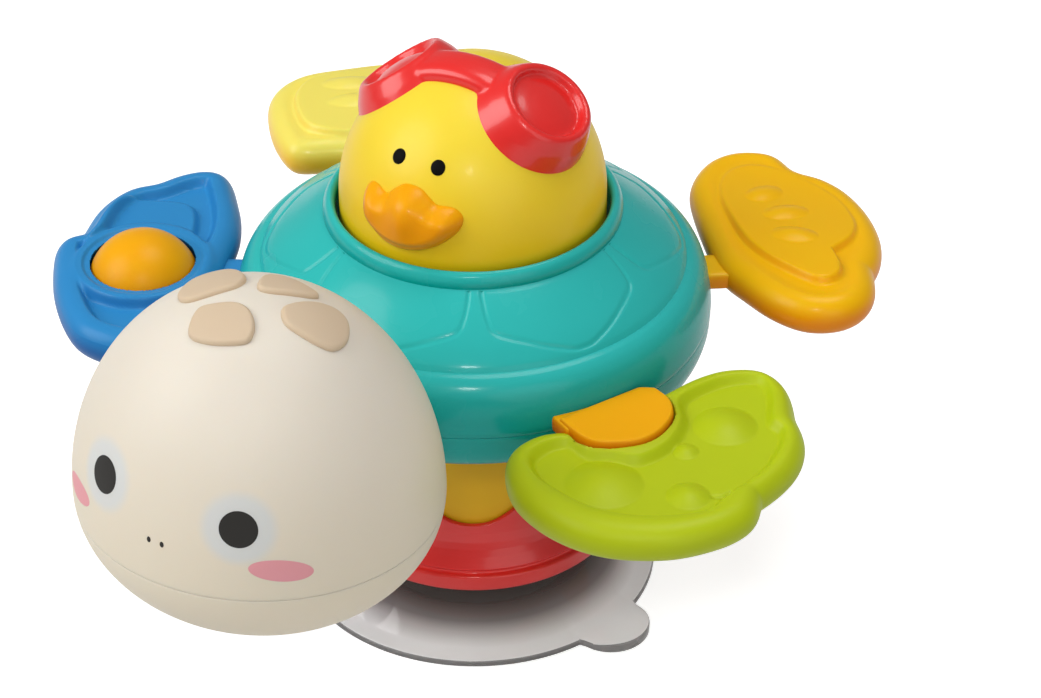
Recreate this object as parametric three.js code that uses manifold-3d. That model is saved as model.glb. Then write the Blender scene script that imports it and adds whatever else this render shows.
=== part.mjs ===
// Suction spinner toy: a turtle that turns on a suction base, with a press-down duck in its shell.
// Lengths are millimetres, +Z is up, the table is at zero and the turtle faces along -Y.
import * as THREE from "three";
import { mergeVertices, toCreasedNormals } from "three/addons/utils/BufferGeometryUtils.js";
import Module from "manifold-3d";

const wasm = await Module();
wasm.setup();

// Clearances and the small hardware that several pieces share
const gap = 0.3;
const overrun = 1;
const weld = 0.0001;
const smallest = 0.02;
const wall = 2.2;
const screw = { radius: 1.3, headRadius: 2.6, headHeight: 1.9, bossWall: 1.8, seatDepth: 6 };
const locatingPin = { radius: 2.2, shoulder: 1.9 };

// Suction base
const cup = {
  radius: 39.6,
  rimWidth: 2.8,
  rimThickness: 1.7,
  height: 11.6,
  hollowDepth: 8.6,
  shoulderRadius: 13,
  seatRadius: 10,
  seatHeight: 2.7,
  neckRadius: 6,
  headRadius: 8.6,
  headHeight: 2.8,
  tabReach: 48,
  tabWidth: 17,
  tabThickness: 2.4,
  tabFlare: 4,
};
const basePlate = { thickness: 2.2, radius: 28 };
const skirt = {
  bandProud: 2.1,
  bandHeight: 4,
  grooveDepth: 0.2,
  grooveHeight: 1.2,
  height: 17,
  wave: 2.6,
  wall: 1,
};
const column = { footInset: 0.4, taper: 4, height: 43.1, shoulder: 2.6, bossInset: 6.8, bossHeight: 22 };
const spindle = { radius: 3, socketDepth: 18, socketWall: 3.6, threadDepth: 9 };
const thrustWasher = { radius: 11, thickness: 1 };
const topWasher = { radius: 6.6, thickness: 1.2 };

// Turtle shell
const shell = {
  radius: 50,
  lowerHeight: 9.4,
  upperHeight: 27.6,
  floorDrop: 4,
  floorInset: 5.8,
  tongue: 1.5,
  tongueHeight: 2,
  columnClearance: 2,
  collarWall: 2,
  collarDepth: 10.8,
  lipWidth: 2.6,
  slopeBulge: 0.5,
  screwInset: 0.5,
};
const hub = { wall: 3.7, height: 16.2, keyWidth: 2, keyHeight: 0.7 };
const bush = { wall: 1.7, flangeWall: 3, flangeThickness: 1.2 };

// Turtle head, held on a neck that reaches into both shells
const head = {
  halfWidth: 36.3,
  halfDepth: 34,
  crown: 42,
  chin: 25.7,
  seamDrop: 4,
  centreHeight: 77,
  boss: 27,
  pinInset: 9.4,
};
const neck = { width: 14, clearance: 1 };
const spot = { thickness: 0.9 };

// Limbs: each is an arm with an eyelet inside the shell and a flipper outside. The arm's height is
// its middle over the shell's parting, and its pin sits just in from the middle of the shell's ring.
const arm = { width: 10, thickness: 3.6, height: 5.7, eyelet: 5.4, pinInset: 0.15 };
const flipper = { thickness: 9, edge: 4.2, standOff: 1.3 };
const frontFlipper = { length: 37.8, width: 68 };
const rearFlipper = {
  length: 37.6,
  width: 64,
  plateauRise: 1,
  plateauInset: 8,
  bumpLength: 9.8,
  bumpHeight: 1.2,
};
const paddle = { length: 42.6, width: 66.5, thickness: 8.4, drop: 5.4, floorDepth: 2, rimWidth: 7 };
const clip = {
  drop: 2,
  cover: 0.8,
  depth: 15.4,
  width: 23.4,
  thickness: 3.2,
  standOff: 0.6,
  offset: -0.6,
  lowerThickness: 3.6,
  rim: 3.2,
  boss: 2.7,
};
const ball = {
  radius: 11.8,
  clearance: 0.4,
  distance: 18.2,
  offset: -1.7,
  drop: 1.1,
  lipWidth: 2.4,
  lipHeight: 0.6,
  underLip: 1.4,
};

// Duck, which slides on the hub
const duck = { radius: 27.7, crown: 28.6, shoulderHeight: 12.4, wall: 1.8, runningGap: 0.8 };
const chassis = {
  thickness: 2.2,
  flange: 2.4,
  sleeveWall: 2,
  sleeveDrop: 6.6,
  spigotHeight: 3,
  screwDistance: 19.6,
};
const beak = { width: 20.4, height: 12.8, proud: 4, edge: 2.4, rise: 7.4 };
const goggles = {
  podRoot: 16.6,
  podBase: 13,
  podBaseReach: 23.3,
  podShoulder: 10.9,
  podShoulderReach: 26.9,
  podRim: 8.4,
  podReach: 31.8,
  lens: 6.6,
  lensDepth: 1.8,
  lensDome: 0.6,
  bandSpan: 17.2,
  bandWidth: 12,
  bandFlare: 1.2,
  bandWaist: 9,
  bandDip: 0.9,
  bandRise: 20,
  bandThickness: 2.5,
  bandForward: 2.4,
};
const spring = { wire: 0.6, radius: 14, turns: 4 };

// Directions, in degrees from the way the turtle faces, positive towards its left
const limbAngle = { frontLeft: 61.5, frontRight: -64, rearLeft: 122, rearRight: -128.5 };
const angles = { shellScrews: [-93, -31, 31, 93, 180], duckScrews: [-90, 90], hubKeys: [0, 180] };
const podAngle = { right: -88, left: 84 };
const podRiseAngle = { right: 60, left: 57 };
const cupTabAngle = -14;
const baseScrewAngles = [30, 150, 270];
const facing = -90;

// Levels that follow from the stack of pieces
const plateBottom = cup.height + cup.seatHeight + gap;
const plateTop = plateBottom + basePlate.thickness;
const ledgeTop = plateTop + gap + skirt.wall;
const columnBottom = ledgeTop + gap;
const deckTop = columnBottom + column.height;
const shellFloor = deckTop - shell.floorDrop;
const parting = shellFloor + shell.lowerHeight;
const lipTop = parting + shell.upperHeight;
const collarBottom = lipTop - shell.collarDepth;
const hubDeckBottom = deckTop + gap + thrustWasher.thickness + gap;
const hubDeckTop = hubDeckBottom + wall;
const hubTop = hubDeckTop + hub.height;
const bushTop = hubTop + gap + bush.flangeThickness;
const chassisTop = collarBottom - gap;
const chassisBottom = chassisTop - chassis.thickness;
const domeCentre = chassisTop + gap + duck.shoulderHeight;
const headSeam = head.centreHeight - head.seamDrop;
const armMiddle = parting + arm.height;
const armBottom = armMiddle - arm.thickness / 2;
const armTop = armMiddle + arm.thickness / 2;
const flipperTop = armMiddle + flipper.thickness / 2;
const flipperBottom = armMiddle - flipper.thickness / 2;
const paddleMiddle = armMiddle - paddle.drop;
const clipTop = armTop - clip.drop;
const clipArmDrop = clip.drop + clip.cover;
const ballHeight = armMiddle - ball.drop;

// Radii and distances that follow from what fits in what
const bushBore = spindle.radius + gap;
const bushRadius = bushBore + bush.wall;
const hubBore = bushRadius + gap;
const hubRadius = hubBore + hub.wall;
const sleeveBore = hubRadius + gap;
const sleeveRadius = sleeveBore + hub.keyHeight + chassis.sleeveWall;
const columnFoot = basePlate.radius - column.footInset;
const columnTop = columnFoot - column.taper;
const baseBossDistance = columnFoot - column.bossInset;
const holeRadius = duck.radius + duck.runningGap;
const collarRadius = holeRadius + shell.collarWall;
const ringMiddle = (collarRadius + shell.radius - wall) / 2;
const floorHole = columnTop + shell.columnClearance;
const headDistance = shell.radius + neck.clearance + head.halfDepth;
const headPinDistance = headDistance - head.halfDepth + head.pinInset;
const screwHole = screw.radius + gap;
const screwBoss = screwHole + screw.bossWall;
const screwSeat = screw.headRadius + gap;
const seatBoss = screwSeat + screw.bossWall;
const pinRadius = locatingPin.radius + locatingPin.shoulder;
const pinDistance = ringMiddle - arm.pinInset;
const shellScrewDistance = ringMiddle - shell.screwInset;
const flipperRoot = shell.radius + flipper.standOff;
const clipBack = shell.radius + clip.standOff;

// Facet counts and the angle past which an edge stays sharp
const round = 24;
const roundBall = 20;
const roundMiddle = 16;
const roundSmall = 10;
const roundTiny = 8;
const roundScrew = 6;
const domeSteps = 7;
const hollowSteps = 3;
const limbCount = 24;
const spotCount = 14;
const beakCount = 24;
const clipSteps = 16;
const skirtCount = 36;
const bandSteps = 5;
const sharpAngle = 35;

const materials = {
  teal: new THREE.MeshStandardMaterial({ color: 0x22afae, roughness: 0.3, metalness: 0 }),
  cream: new THREE.MeshStandardMaterial({ color: 0xe8e1d4, roughness: 0.45, metalness: 0 }),
  tan: new THREE.MeshStandardMaterial({ color: 0xd9c6ae, roughness: 0.5, metalness: 0 }),
  yellow: new THREE.MeshStandardMaterial({ color: 0xf7d445, roughness: 0.35, metalness: 0 }),
  paleYellow: new THREE.MeshStandardMaterial({ color: 0xfae05e, roughness: 0.35, metalness: 0 }),
  orange: new THREE.MeshStandardMaterial({ color: 0xf2a900, roughness: 0.3, metalness: 0 }),
  red: new THREE.MeshStandardMaterial({ color: 0xdf3137, roughness: 0.3, metalness: 0 }),
  blue: new THREE.MeshStandardMaterial({ color: 0x3789c6, roughness: 0.35, metalness: 0 }),
  green: new THREE.MeshStandardMaterial({ color: 0xb9c916, roughness: 0.5, metalness: 0 }),
  clear: new THREE.MeshStandardMaterial({
    color: 0xc9c6c8,
    roughness: 0.1,
    metalness: 0,
    transparent: true,
    opacity: 0.5,
  }),
  white: new THREE.MeshStandardMaterial({ color: 0xe9e9e6, roughness: 0.4, metalness: 0 }),
  steel: new THREE.MeshStandardMaterial({ color: 0xb4b7ba, roughness: 0.3, metalness: 1 }),
};

const radians = THREE.MathUtils.degToRad;

// A closed geometry as a solid, with its faces turned outwards
function solid(geometry) {
  const bare = geometry.clone();
  for (const name of Object.keys(bare.attributes)) if (name !== "position") bare.deleteAttribute(name);
  const merged = mergeVertices(bare, weld);
  const index = merged.index.array;
  const kept = [];
  for (let i = 0; i < index.length; i += 3) {
    const [a, b, c] = [index[i], index[i + 1], index[i + 2]];
    if (a !== b && b !== c && c !== a) kept.push(a, b, c);
  }
  const at = (i) => new THREE.Vector3().fromBufferAttribute(merged.attributes.position, i);
  let volume = 0;
  for (let i = 0; i < kept.length; i += 3) {
    volume += at(kept[i]).dot(at(kept[i + 1]).cross(at(kept[i + 2])));
  }
  if (volume < 0) kept.reverse();
  const vertProperties = new Float32Array(merged.attributes.position.array);
  return new wasm.Manifold(new wasm.Mesh({ numProp: 3, vertProperties, triVerts: new Uint32Array(kept) }));
}

function union(first, ...rest) {
  return rest.reduce((sum, next) => sum.add(next), first);
}

function cut(body, ...tools) {
  return tools.reduce((left, tool) => left.subtract(tool), body);
}

// A named mesh from a solid or a closed geometry
function piece(name, shape, material) {
  const body = shape.isBufferGeometry ? solid(shape) : shape;
  const mesh = body.asOriginal().simplify(smallest).getMesh();
  const geometry = new THREE.BufferGeometry();
  geometry.setAttribute("position", new THREE.BufferAttribute(mesh.vertProperties, mesh.numProp));
  geometry.setIndex(new THREE.BufferAttribute(mesh.triVerts, 1));
  const made = new THREE.Mesh(toCreasedNormals(geometry, radians(sharpAngle)), material);
  made.name = name;
  return made;
}

// A profile of [radius, height] points turned about Z. It closes on itself unless it starts on the axis.
function revolve(profile, segments = round) {
  const points = profile.map(([r, z]) => new THREE.Vector2(r, z));
  if (points[0].x > 0) points.push(points[0].clone());
  return new THREE.LatheGeometry(points, segments).rotateX(Math.PI / 2);
}

function tube(inner, outer, bottom, top, segments = roundSmall) {
  return revolve([[inner, bottom], [outer, bottom], [outer, top], [inner, top]], segments);
}

function rod(radius, bottom, top, segments = roundSmall) {
  return revolve([[0, bottom], [radius, bottom], [radius, top], [0, top]], segments);
}

function block(x0, x1, y0, y1, z0, z1) {
  const box = new THREE.BoxGeometry(x1 - x0, y1 - y0, z1 - z0);
  return box.translate((x0 + x1) / 2, (y0 + y1) / 2, (z0 + z1) / 2);
}

// A flat outline of [x, y] points raised from one height to another
function prism(outline, bottom, top) {
  const shape = new THREE.Shape(outline.map(([x, y]) => new THREE.Vector2(x, y)));
  const options = { depth: top - bottom, bevelEnabled: false };
  return new THREE.ExtrudeGeometry(shape, options).translate(0, 0, bottom);
}

function ellipsoid(x, y, z, centre, segments = round) {
  return new THREE.SphereGeometry(1, segments, segments / 2)
    .rotateX(Math.PI / 2)
    .scale(x, y, z)
    .translate(...centre);
}

function sphere(radius, centre) {
  return ellipsoid(radius, radius, radius, centre, roundBall);
}

// Turns a geometry about Z and moves it out along the turned X axis
function around(geometry, degrees, distance = 0) {
  return geometry.translate(distance, 0, 0).rotateZ(radians(degrees));
}

// An upright pin, boss or hole as a solid: in the part's frame round the spin axis, or in a limb's own
function pinAround(degrees, distance, radius, bottom, top, segments = roundTiny) {
  return solid(around(rod(radius, bottom, top, segments), degrees, distance));
}

function pinAt(x, y, radius, bottom, top, segments = roundTiny) {
  return solid(rod(radius, bottom, top, segments).translate(x, y, 0));
}

// The inner side of a moulded wall: the profile moved to its left by the wall thickness
function inset(profile, thickness) {
  return profile.map((point, i) => {
    const before = profile[Math.max(i - 1, 0)];
    const after = profile[Math.min(i + 1, profile.length - 1)];
    const step = new THREE.Vector2(after[0] - before[0], after[1] - before[1]).normalize();
    return [Math.max(point[0] - step.y * thickness, 0), point[1] + step.x * thickness];
  });
}

// A quarter of an ellipse from its widest point up, or down, to the axis
function quarter(radius, height, centre, start, steps) {
  return Array.from({ length: steps + 1 }, (_, i) => {
    const turn = start + ((Math.PI / 2 - start) * i) / steps;
    return [i === steps ? 0 : radius * Math.cos(turn), centre + height * Math.sin(turn)];
  });
}

// A closed outline through share points of a length and a width. Points marked true are creases.
function outlineOf(shares, length, width, side = 1) {
  const creases = shares.map((share, i) => (share[2] ? i : -1)).filter((i) => i >= 0);
  const stretches = creases.map((from, k) => {
    const to = k + 1 < creases.length ? creases[k + 1] : creases[0] + shares.length;
    const points = [];
    for (let i = from; i <= to; i++) {
      const [a, b] = shares[i % shares.length];
      points.push(new THREE.Vector2(a * length, b * width * side));
    }
    return new THREE.SplineCurve(points);
  });
  const total = stretches.reduce((sum, curve) => sum + curve.getLength(), 0);
  return stretches.flatMap((curve) => {
    const steps = Math.max(2, Math.round((limbCount * curve.getLength()) / total));
    return curve.getSpacedPoints(steps).slice(0, -1).map((p) => [p.x, p.y]);
  });
}

// A smooth closed outline through points of [x, y]
function smoothOutline(points, count) {
  const curve = new THREE.CatmullRomCurve3(points.map(([x, y]) => new THREE.Vector3(x, y, 0)), true);
  return curve.getSpacedPoints(count).slice(0, -1).map((p) => [p.x, p.y]);
}

function shifted(outline, distance) {
  return outline.map(([x, y]) => [x + distance, y]);
}

// A plate with a moulded face: each ring is the outline drawn in towards the centre, at its own height
function plate(outline, centre, rings) {
  const positions = [centre[0], centre[1], rings[0][1]];
  for (const [drawn, height] of rings) {
    for (const [x, y] of outline) {
      const away = new THREE.Vector2(x - centre[0], y - centre[1]);
      away.setLength(away.length() - drawn);
      positions.push(centre[0] + away.x, centre[1] + away.y, height);
    }
  }
  positions.push(centre[0], centre[1], rings.at(-1)[1]);
  const n = outline.length;
  const last = positions.length / 3 - 1;
  const index = [];
  for (let i = 0; i < n; i++) {
    const j = (i + 1) % n;
    index.push(0, 1 + j, 1 + i);
    for (let k = 0; k + 1 < rings.length; k++) {
      const low = 1 + k * n;
      const high = low + n;
      index.push(low + i, low + j, high + j, low + i, high + j, high + i);
    }
    index.push(last, last - n + i, last - n + j);
  }
  const geometry = new THREE.BufferGeometry();
  geometry.setAttribute("position", new THREE.Float32BufferAttribute(positions, 3));
  return geometry.setIndex(index);
}

// Ring heights of a plate whose edge is fully rounded, up to the crest of the rim
function roundedEdge(middle, thickness, edge, steps = 3) {
  return Array.from({ length: steps + 1 }, (_, i) => {
    const turn = -Math.PI / 2 + (Math.PI * i) / steps;
    return [edge * (1 - Math.cos(turn)), middle + (thickness / 2) * Math.sin(turn)];
  });
}

// A pan-head screw that stands on its head
function screwShape(length) {
  const { radius, headRadius, headHeight } = screw;
  const profile = [
    [0, 0],
    [headRadius, 0],
    [headRadius, headHeight],
    [radius, headHeight],
    [radius, length],
    [0, length],
  ];
  return revolve(profile, roundScrew);
}

function screwPiece(name, [x, y], headBottom, tip) {
  const made = piece(name, screwShape(tip - headBottom), materials.steel);
  made.position.set(x, y, headBottom);
  return made;
}

function polar(degrees, distance) {
  return [distance * Math.cos(radians(degrees)), distance * Math.sin(radians(degrees))];
}

// Suction base

// Share of the rim's width by which the pull tab is rooted in it
const tabRootShare = 0.8;
const tabCornerAngle = 60;

function suctionCup() {
  const slope = (top, inner, outer, low) =>
    Array.from({ length: hollowSteps + 1 }, (_, i) => {
      const share = i / hollowSteps;
      return [inner + (outer - inner) * share, low + (top - low) * Math.cos((share * Math.PI) / 2)];
    });
  const rimInner = cup.radius - cup.rimWidth;
  const neckTop = plateTop + gap;
  const outside = slope(cup.height, cup.shoulderRadius, rimInner, cup.rimThickness);
  const underside = slope(cup.hollowDepth, 0, rimInner, 0).reverse();
  const stem = [
    [0, neckTop + cup.headHeight],
    [cup.neckRadius, neckTop + cup.headHeight],
    [cup.headRadius, neckTop + cup.headHeight / 2],
    [cup.headRadius, neckTop],
    [cup.neckRadius, neckTop],
    [cup.neckRadius, cup.height + cup.seatHeight],
    [cup.seatRadius, cup.height + cup.seatHeight],
    [cup.seatRadius, cup.height - overrun],
    [0, cup.height - overrun],
  ];
  const profile = [
    [0, cup.height],
    ...outside,
    [cup.radius - cup.rimThickness / 2, cup.rimThickness],
    [cup.radius, cup.rimThickness / 2],
    [cup.radius, 0],
    ...underside,
  ];
  const half = cup.tabWidth / 2;
  const rootX = cup.radius - cup.rimWidth * tabRootShare;
  const corner = radians(tabCornerAngle);
  const tab = new THREE.Shape();
  tab.moveTo(rootX, -half - cup.tabFlare);
  tab.quadraticCurveTo(cup.radius, -half, cup.radius + cup.tabFlare / 2, -half + cup.tabFlare / 4);
  tab.absarc(cup.tabReach - half, 0, half, -corner, corner, false);
  tab.lineTo(cup.radius + cup.tabFlare / 2, half - cup.tabFlare / 4);
  tab.quadraticCurveTo(cup.radius, half, rootX, half + cup.tabFlare);
  const options = { depth: cup.tabThickness, bevelEnabled: false, curveSegments: hollowSteps };
  const tabBody = around(new THREE.ExtrudeGeometry(tab, options), cupTabAngle);
  return union(solid(revolve(profile)), solid(revolve(stem, roundSmall)), solid(tabBody));
}

function basePlateSolid() {
  const disc = solid(tube(cup.neckRadius + gap, basePlate.radius, plateBottom, plateTop, round));
  const [low, high] = [plateBottom - overrun, plateTop + overrun];
  const holes = baseScrewAngles.map((angle) => pinAround(angle, baseBossDistance, screwHole, low, high));
  return cut(disc, ...holes);
}

// Outer radius of the column's tapered wall at a height
function columnRadius(z) {
  const share = (z - columnBottom) / (column.height - column.shoulder);
  return columnFoot - column.taper * share;
}

const skirtWaves = 6;

function baseSkirt() {
  const bottom = plateBottom - gap / 2;
  const bandRadius = columnFoot + gap + skirt.wall + skirt.bandProud;
  const inside = basePlate.radius + gap;
  const top = bottom + skirt.height;
  const outerAt = (z) => columnRadius(z) + gap + skirt.wall;
  const grooveBottom = bottom + skirt.bandHeight;
  const grooveTop = grooveBottom + skirt.grooveHeight;
  const rings = Array.from({ length: skirtCount }, (_, i) => {
    const turn = (2 * Math.PI * i) / skirtCount;
    const edge = top - skirt.wave * Math.cos(skirtWaves * turn);
    const profile = [
      [inside, bottom],
      [bandRadius, bottom],
      [bandRadius, grooveBottom],
      [outerAt(grooveBottom) - skirt.grooveDepth, grooveBottom],
      [outerAt(grooveTop), grooveTop],
      [outerAt(edge), edge],
      [columnRadius(edge) + gap, edge],
      [columnRadius(columnBottom) + gap, ledgeTop],
      [columnFoot - wall, ledgeTop],
      [columnFoot - wall, plateTop + gap],
      [inside, plateTop + gap],
    ];
    return profile.map(([r, z]) => [r * Math.cos(turn), r * Math.sin(turn), z]);
  });
  return solid(ringLoft(rings));
}

// A closed band through equal rings of points, each joined to the next and the last to the first
function ringLoft(rings) {
  const n = rings[0].length;
  const index = [];
  rings.forEach((_, k) => {
    const next = (k + 1) % rings.length;
    for (let i = 0; i < n; i++) {
      const j = (i + 1) % n;
      index.push(k * n + i, next * n + i, next * n + j, k * n + i, next * n + j, k * n + j);
    }
  });
  const geometry = new THREE.BufferGeometry();
  geometry.setAttribute("position", new THREE.Float32BufferAttribute(rings.flat(2), 3));
  return geometry.setIndex(index);
}

function baseColumn() {
  const shoulderRadius = columnTop - column.shoulder;
  const outside = [
    [columnFoot, columnBottom],
    [columnTop, deckTop - column.shoulder],
    [(columnTop + shoulderRadius) / 2 + column.shoulder / 4, deckTop - column.shoulder / 4],
    [shoulderRadius, deckTop],
  ];
  const inside = [
    [shoulderRadius - wall / 2, deckTop - wall],
    [columnTop - wall, deckTop - column.shoulder - wall / 2],
    [columnFoot - wall, columnBottom],
  ];
  const shellBody = solid(revolve([[0, deckTop - wall], ...inside, ...outside, [0, deckTop]]));
  const socketRadius = spindle.radius + gap;
  const socketBottom = deckTop - spindle.socketDepth;
  const socket = solid(rod(socketRadius + spindle.socketWall, socketBottom - wall, deckTop - wall / 2));
  const bore = solid(rod(socketRadius, socketBottom, deckTop + overrun));
  const bossBottom = plateTop + gap;
  const bossTop = bossBottom + column.bossHeight;
  const bosses = baseScrewAngles.map((a) => pinAround(a, baseBossDistance, screwBoss, bossBottom, bossTop));
  const holes = baseScrewAngles.map((a) =>
    pinAround(a, baseBossDistance, screwHole, bossBottom - overrun, bossTop - wall),
  );
  return cut(union(shellBody, socket, ...bosses), bore, ...holes);
}

function spindleSolid() {
  const bottom = deckTop - spindle.socketDepth + gap;
  const thread = solid(rod(screwHole, bushTop - spindle.threadDepth, bushTop + overrun, roundTiny));
  return cut(solid(rod(spindle.radius, bottom, bushTop)), thread);
}

// Turtle shell

// Where the neck and the arms pass through the shells, and how far each sits below the common level
const holders = [
  { angle: facing, width: neck.width, drop: 0 },
  { angle: facing + limbAngle.frontLeft, width: arm.width, drop: clipArmDrop },
  { angle: facing + limbAngle.frontRight, width: arm.width, drop: 0 },
  { angle: facing + limbAngle.rearLeft, width: arm.width, drop: 0 },
  { angle: facing + limbAngle.rearRight, width: arm.width, drop: 0 },
];

function holderPost(bottom, drop = 0) {
  const seat = armBottom - drop - gap;
  const tip = armTop - drop;
  const { radius } = locatingPin;
  const foot = [[0, bottom], [pinRadius, bottom], [pinRadius, seat]];
  return revolve([...foot, [radius, seat], [radius, tip], [0, tip]], roundTiny);
}

// Openings in the rim for the neck and the arms
function armWindows() {
  return holders.map(({ angle, width, drop }) => {
    const half = width / 2 + gap;
    const low = armBottom - gap - drop;
    const slot = block(pinDistance, shell.radius + overrun, -half, half, low, armTop + gap - drop);
    return solid(around(slot, angle));
  });
}

// The rounded flank of the lower shell, as shares of the floor's inset and of the shell's height
const flankShares = [[0.42, 0.08], [0.78, 0.3], [0.96, 0.65]];

function shellLower() {
  const floorRadius = shell.radius - shell.floorInset;
  const outside = [
    [floorHole, shellFloor],
    [floorRadius, shellFloor],
    ...flankShares.map(([a, b]) => [floorRadius + shell.floorInset * a, shellFloor + shell.lowerHeight * b]),
    [shell.radius, parting - gap / 2],
  ];
  const tongueOuter = shell.radius - wall - gap;
  const tongueInner = tongueOuter - shell.tongue;
  const profile = [
    ...outside,
    [tongueOuter, parting - gap / 2],
    [tongueOuter, parting + shell.tongueHeight],
    [tongueInner, parting + shell.tongueHeight],
    [tongueInner, shellFloor + shell.lowerHeight / 2],
    [floorRadius - wall / 2, shellFloor + wall],
    [floorHole + wall, shellFloor + wall],
    [floorHole + wall, hubDeckTop],
    [hubRadius, hubDeckTop],
    [hubRadius, hubTop],
    [hubBore, hubTop],
    [hubBore, hubDeckBottom],
    [floorHole, hubDeckBottom],
  ];
  const body = solid(revolve(profile));
  const rootZ = shellFloor + wall / 2;
  const posts = holders.map(({ angle, drop }) => solid(around(holderPost(rootZ, drop), angle, pinDistance)));
  const bossTop = parting + shell.tongueHeight;
  const places = angles.shellScrews.map((angle) => angle + facing);
  const bosses = places.map((a) => pinAround(a, shellScrewDistance, seatBoss, rootZ, bossTop));
  const seats = places.flatMap((a) => [
    pinAround(a, shellScrewDistance, screwSeat, shellFloor - overrun, shellFloor + screw.seatDepth),
    pinAround(a, shellScrewDistance, screwHole, shellFloor, bossTop + overrun),
  ]);
  const keys = angles.hubKeys.map((a) => {
    const half = hub.keyWidth / 2;
    const far = hubRadius + hub.keyHeight;
    return solid(around(block(hubBore + gap, far, -half, half, hubDeckTop - gap, hubTop), a));
  });
  return cut(union(cut(body, ...armWindows()), ...posts, ...bosses, ...keys), ...seats);
}

// Shares of the shell's radius and of the upper shell's height: the rounded rim up to the crease
const rimShares = [[1, 0], [1, 0.08], [0.988, 0.27], [0.955, 0.41], [0.89, 0.493]];
const valleyShare = 0.88;
const slopeShares = [0.3, 0.65];
// Shares of the lip's width and of its height over the valley
const lipShares = [[0.92, 0.5], [0.62, 0.93], [0.3, 1], [0, 0.72]];

// The outside of the upper shell: rounded rim, crease, sloping top and the valley before the raised lip
function shellTopProfile() {
  const rim = rimShares.map(([a, b]) => [shell.radius * a, parting + shell.upperHeight * b]);
  rim[0][1] += gap / 2;
  const crease = rim.at(-1);
  const valley = [holeRadius + shell.lipWidth, parting + shell.upperHeight * valleyShare];
  const slope = slopeShares.map((share) => [
    crease[0] + (valley[0] - crease[0]) * share,
    crease[1] + (valley[1] - crease[1]) * share + shell.slopeBulge * Math.sin(share * Math.PI),
  ]);
  return { rim, slope, valley };
}

function shellUpper() {
  const { rim, slope, valley } = shellTopProfile();
  const lipHeight = lipTop - valley[1];
  const lip = lipShares.map(([a, b]) => [holeRadius + shell.lipWidth * a, valley[1] + lipHeight * b]);
  const skin = [...rim, ...slope, valley];
  const kept = [rim[0], rim[2], rim[3], slope[0], valley];
  const inside = inset(kept, wall);
  inside[0] = [shell.radius - wall, rim[0][1]];
  inside[inside.length - 1] = [collarRadius, valley[1] - wall];
  const collar = [[holeRadius, collarBottom], [collarRadius, collarBottom]];
  const body = solid(revolve([...skin, ...lip, ...collar, ...inside.reverse()]));
  const form = inset(kept, wall / 2);
  const within = solid(revolve([[0, parting], ...form, [0, form.at(-1)[1]]]));
  const bossBottom = parting + shell.tongueHeight + gap;
  const places = angles.shellScrews.map((angle) => angle + facing);
  const bosses = places.map((a) =>
    pinAround(a, shellScrewDistance, screwBoss, bossBottom, lipTop).intersect(within),
  );
  const pilots = places.map((a) =>
    pinAround(a, shellScrewDistance, screwHole, bossBottom - overrun, bossBottom + screw.seatDepth),
  );
  const stops = holders.map(({ angle, drop }) =>
    pinAround(angle, pinDistance, pinRadius, armTop + gap - drop, lipTop).intersect(within),
  );
  return cut(union(cut(body, ...armWindows()), ...bosses, ...stops), ...pilots);
}

// Head

// One side of the head as a solid form, from the seam to the crown or the chin, grown by a distance
function headForm(height, seam, grown, steps = hollowSteps) {
  const start = Math.asin((seam - head.centreHeight) / height);
  const rise = height + Math.sign(height) * grown;
  const side = quarter(head.halfWidth + grown, rise, head.centreHeight, start, steps);
  side[0][1] = seam;
  const form = revolve([[0, seam], ...side]).scale(1, head.halfDepth / head.halfWidth, 1);
  return solid(form.rotateZ(Math.PI / 2).translate(headDistance, 0, 0));
}

const headSteps = 6;
const headBosses = [-1, 1].map((side) => side * head.boss);
const headScrewSeat = headSeam - screw.seatDepth;
const headPilot = screw.seatDepth * 2;

function neckWindow() {
  const half = neck.width / 2 + gap;
  const outer = headDistance - head.halfDepth - overrun;
  const inner = headPinDistance - arm.eyelet + wall;
  return solid(block(outer, inner, -half, half, armBottom - gap, armTop + gap));
}

function headUpper() {
  const seam = headSeam + gap / 2;
  const body = cut(headForm(head.crown, seam, 0, headSteps), headForm(head.crown, seam, -wall));
  const top = head.centreHeight + head.crown;
  const within = headForm(head.crown, seam, -wall / 2);
  const stop = pinAt(headPinDistance, 0, pinRadius, armTop + gap, top, roundSmall);
  const bosses = headBosses.map((y) => pinAt(headDistance, y, screwBoss, seam, top));
  const pilots = headBosses.map((y) => pinAt(headDistance, y, screwHole, seam - overrun, seam + headPilot));
  const inner = [stop, ...bosses].map((boss) => boss.intersect(within));
  return cut(union(cut(body, neckWindow()), ...inner), ...pilots);
}

function headLower() {
  const seam = headSeam - gap / 2;
  const body = cut(headForm(-head.chin, seam, 0, headSteps), headForm(-head.chin, seam, -wall));
  const low = head.centreHeight - head.chin;
  const within = headForm(-head.chin, armTop, -wall / 2);
  const post = solid(holderPost(low).translate(headPinDistance, 0, 0)).intersect(within);
  const bosses = headBosses.map((y) => pinAt(headDistance, y, seatBoss, low, seam).intersect(within));
  const seats = headBosses.flatMap((y) => [
    pinAt(headDistance, y, screwSeat, low, headScrewSeat),
    pinAt(headDistance, y, screwHole, low, seam + overrun),
  ]);
  return cut(union(cut(body, neckWindow()), post, ...bosses), ...seats);
}

function neckSolid() {
  const places = [pinDistance, headPinDistance];
  const bar = solid(block(...places, -neck.width / 2, neck.width / 2, armBottom, armTop));
  const eyes = places.map((x) => pinAt(x, 0, arm.eyelet, armBottom, armTop, roundSmall));
  const bore = locatingPin.radius + gap;
  const holes = places.map((x) => pinAt(x, 0, bore, armBottom - overrun, armTop + overrun));
  return cut(union(bar, ...eyes), ...holes);
}

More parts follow.
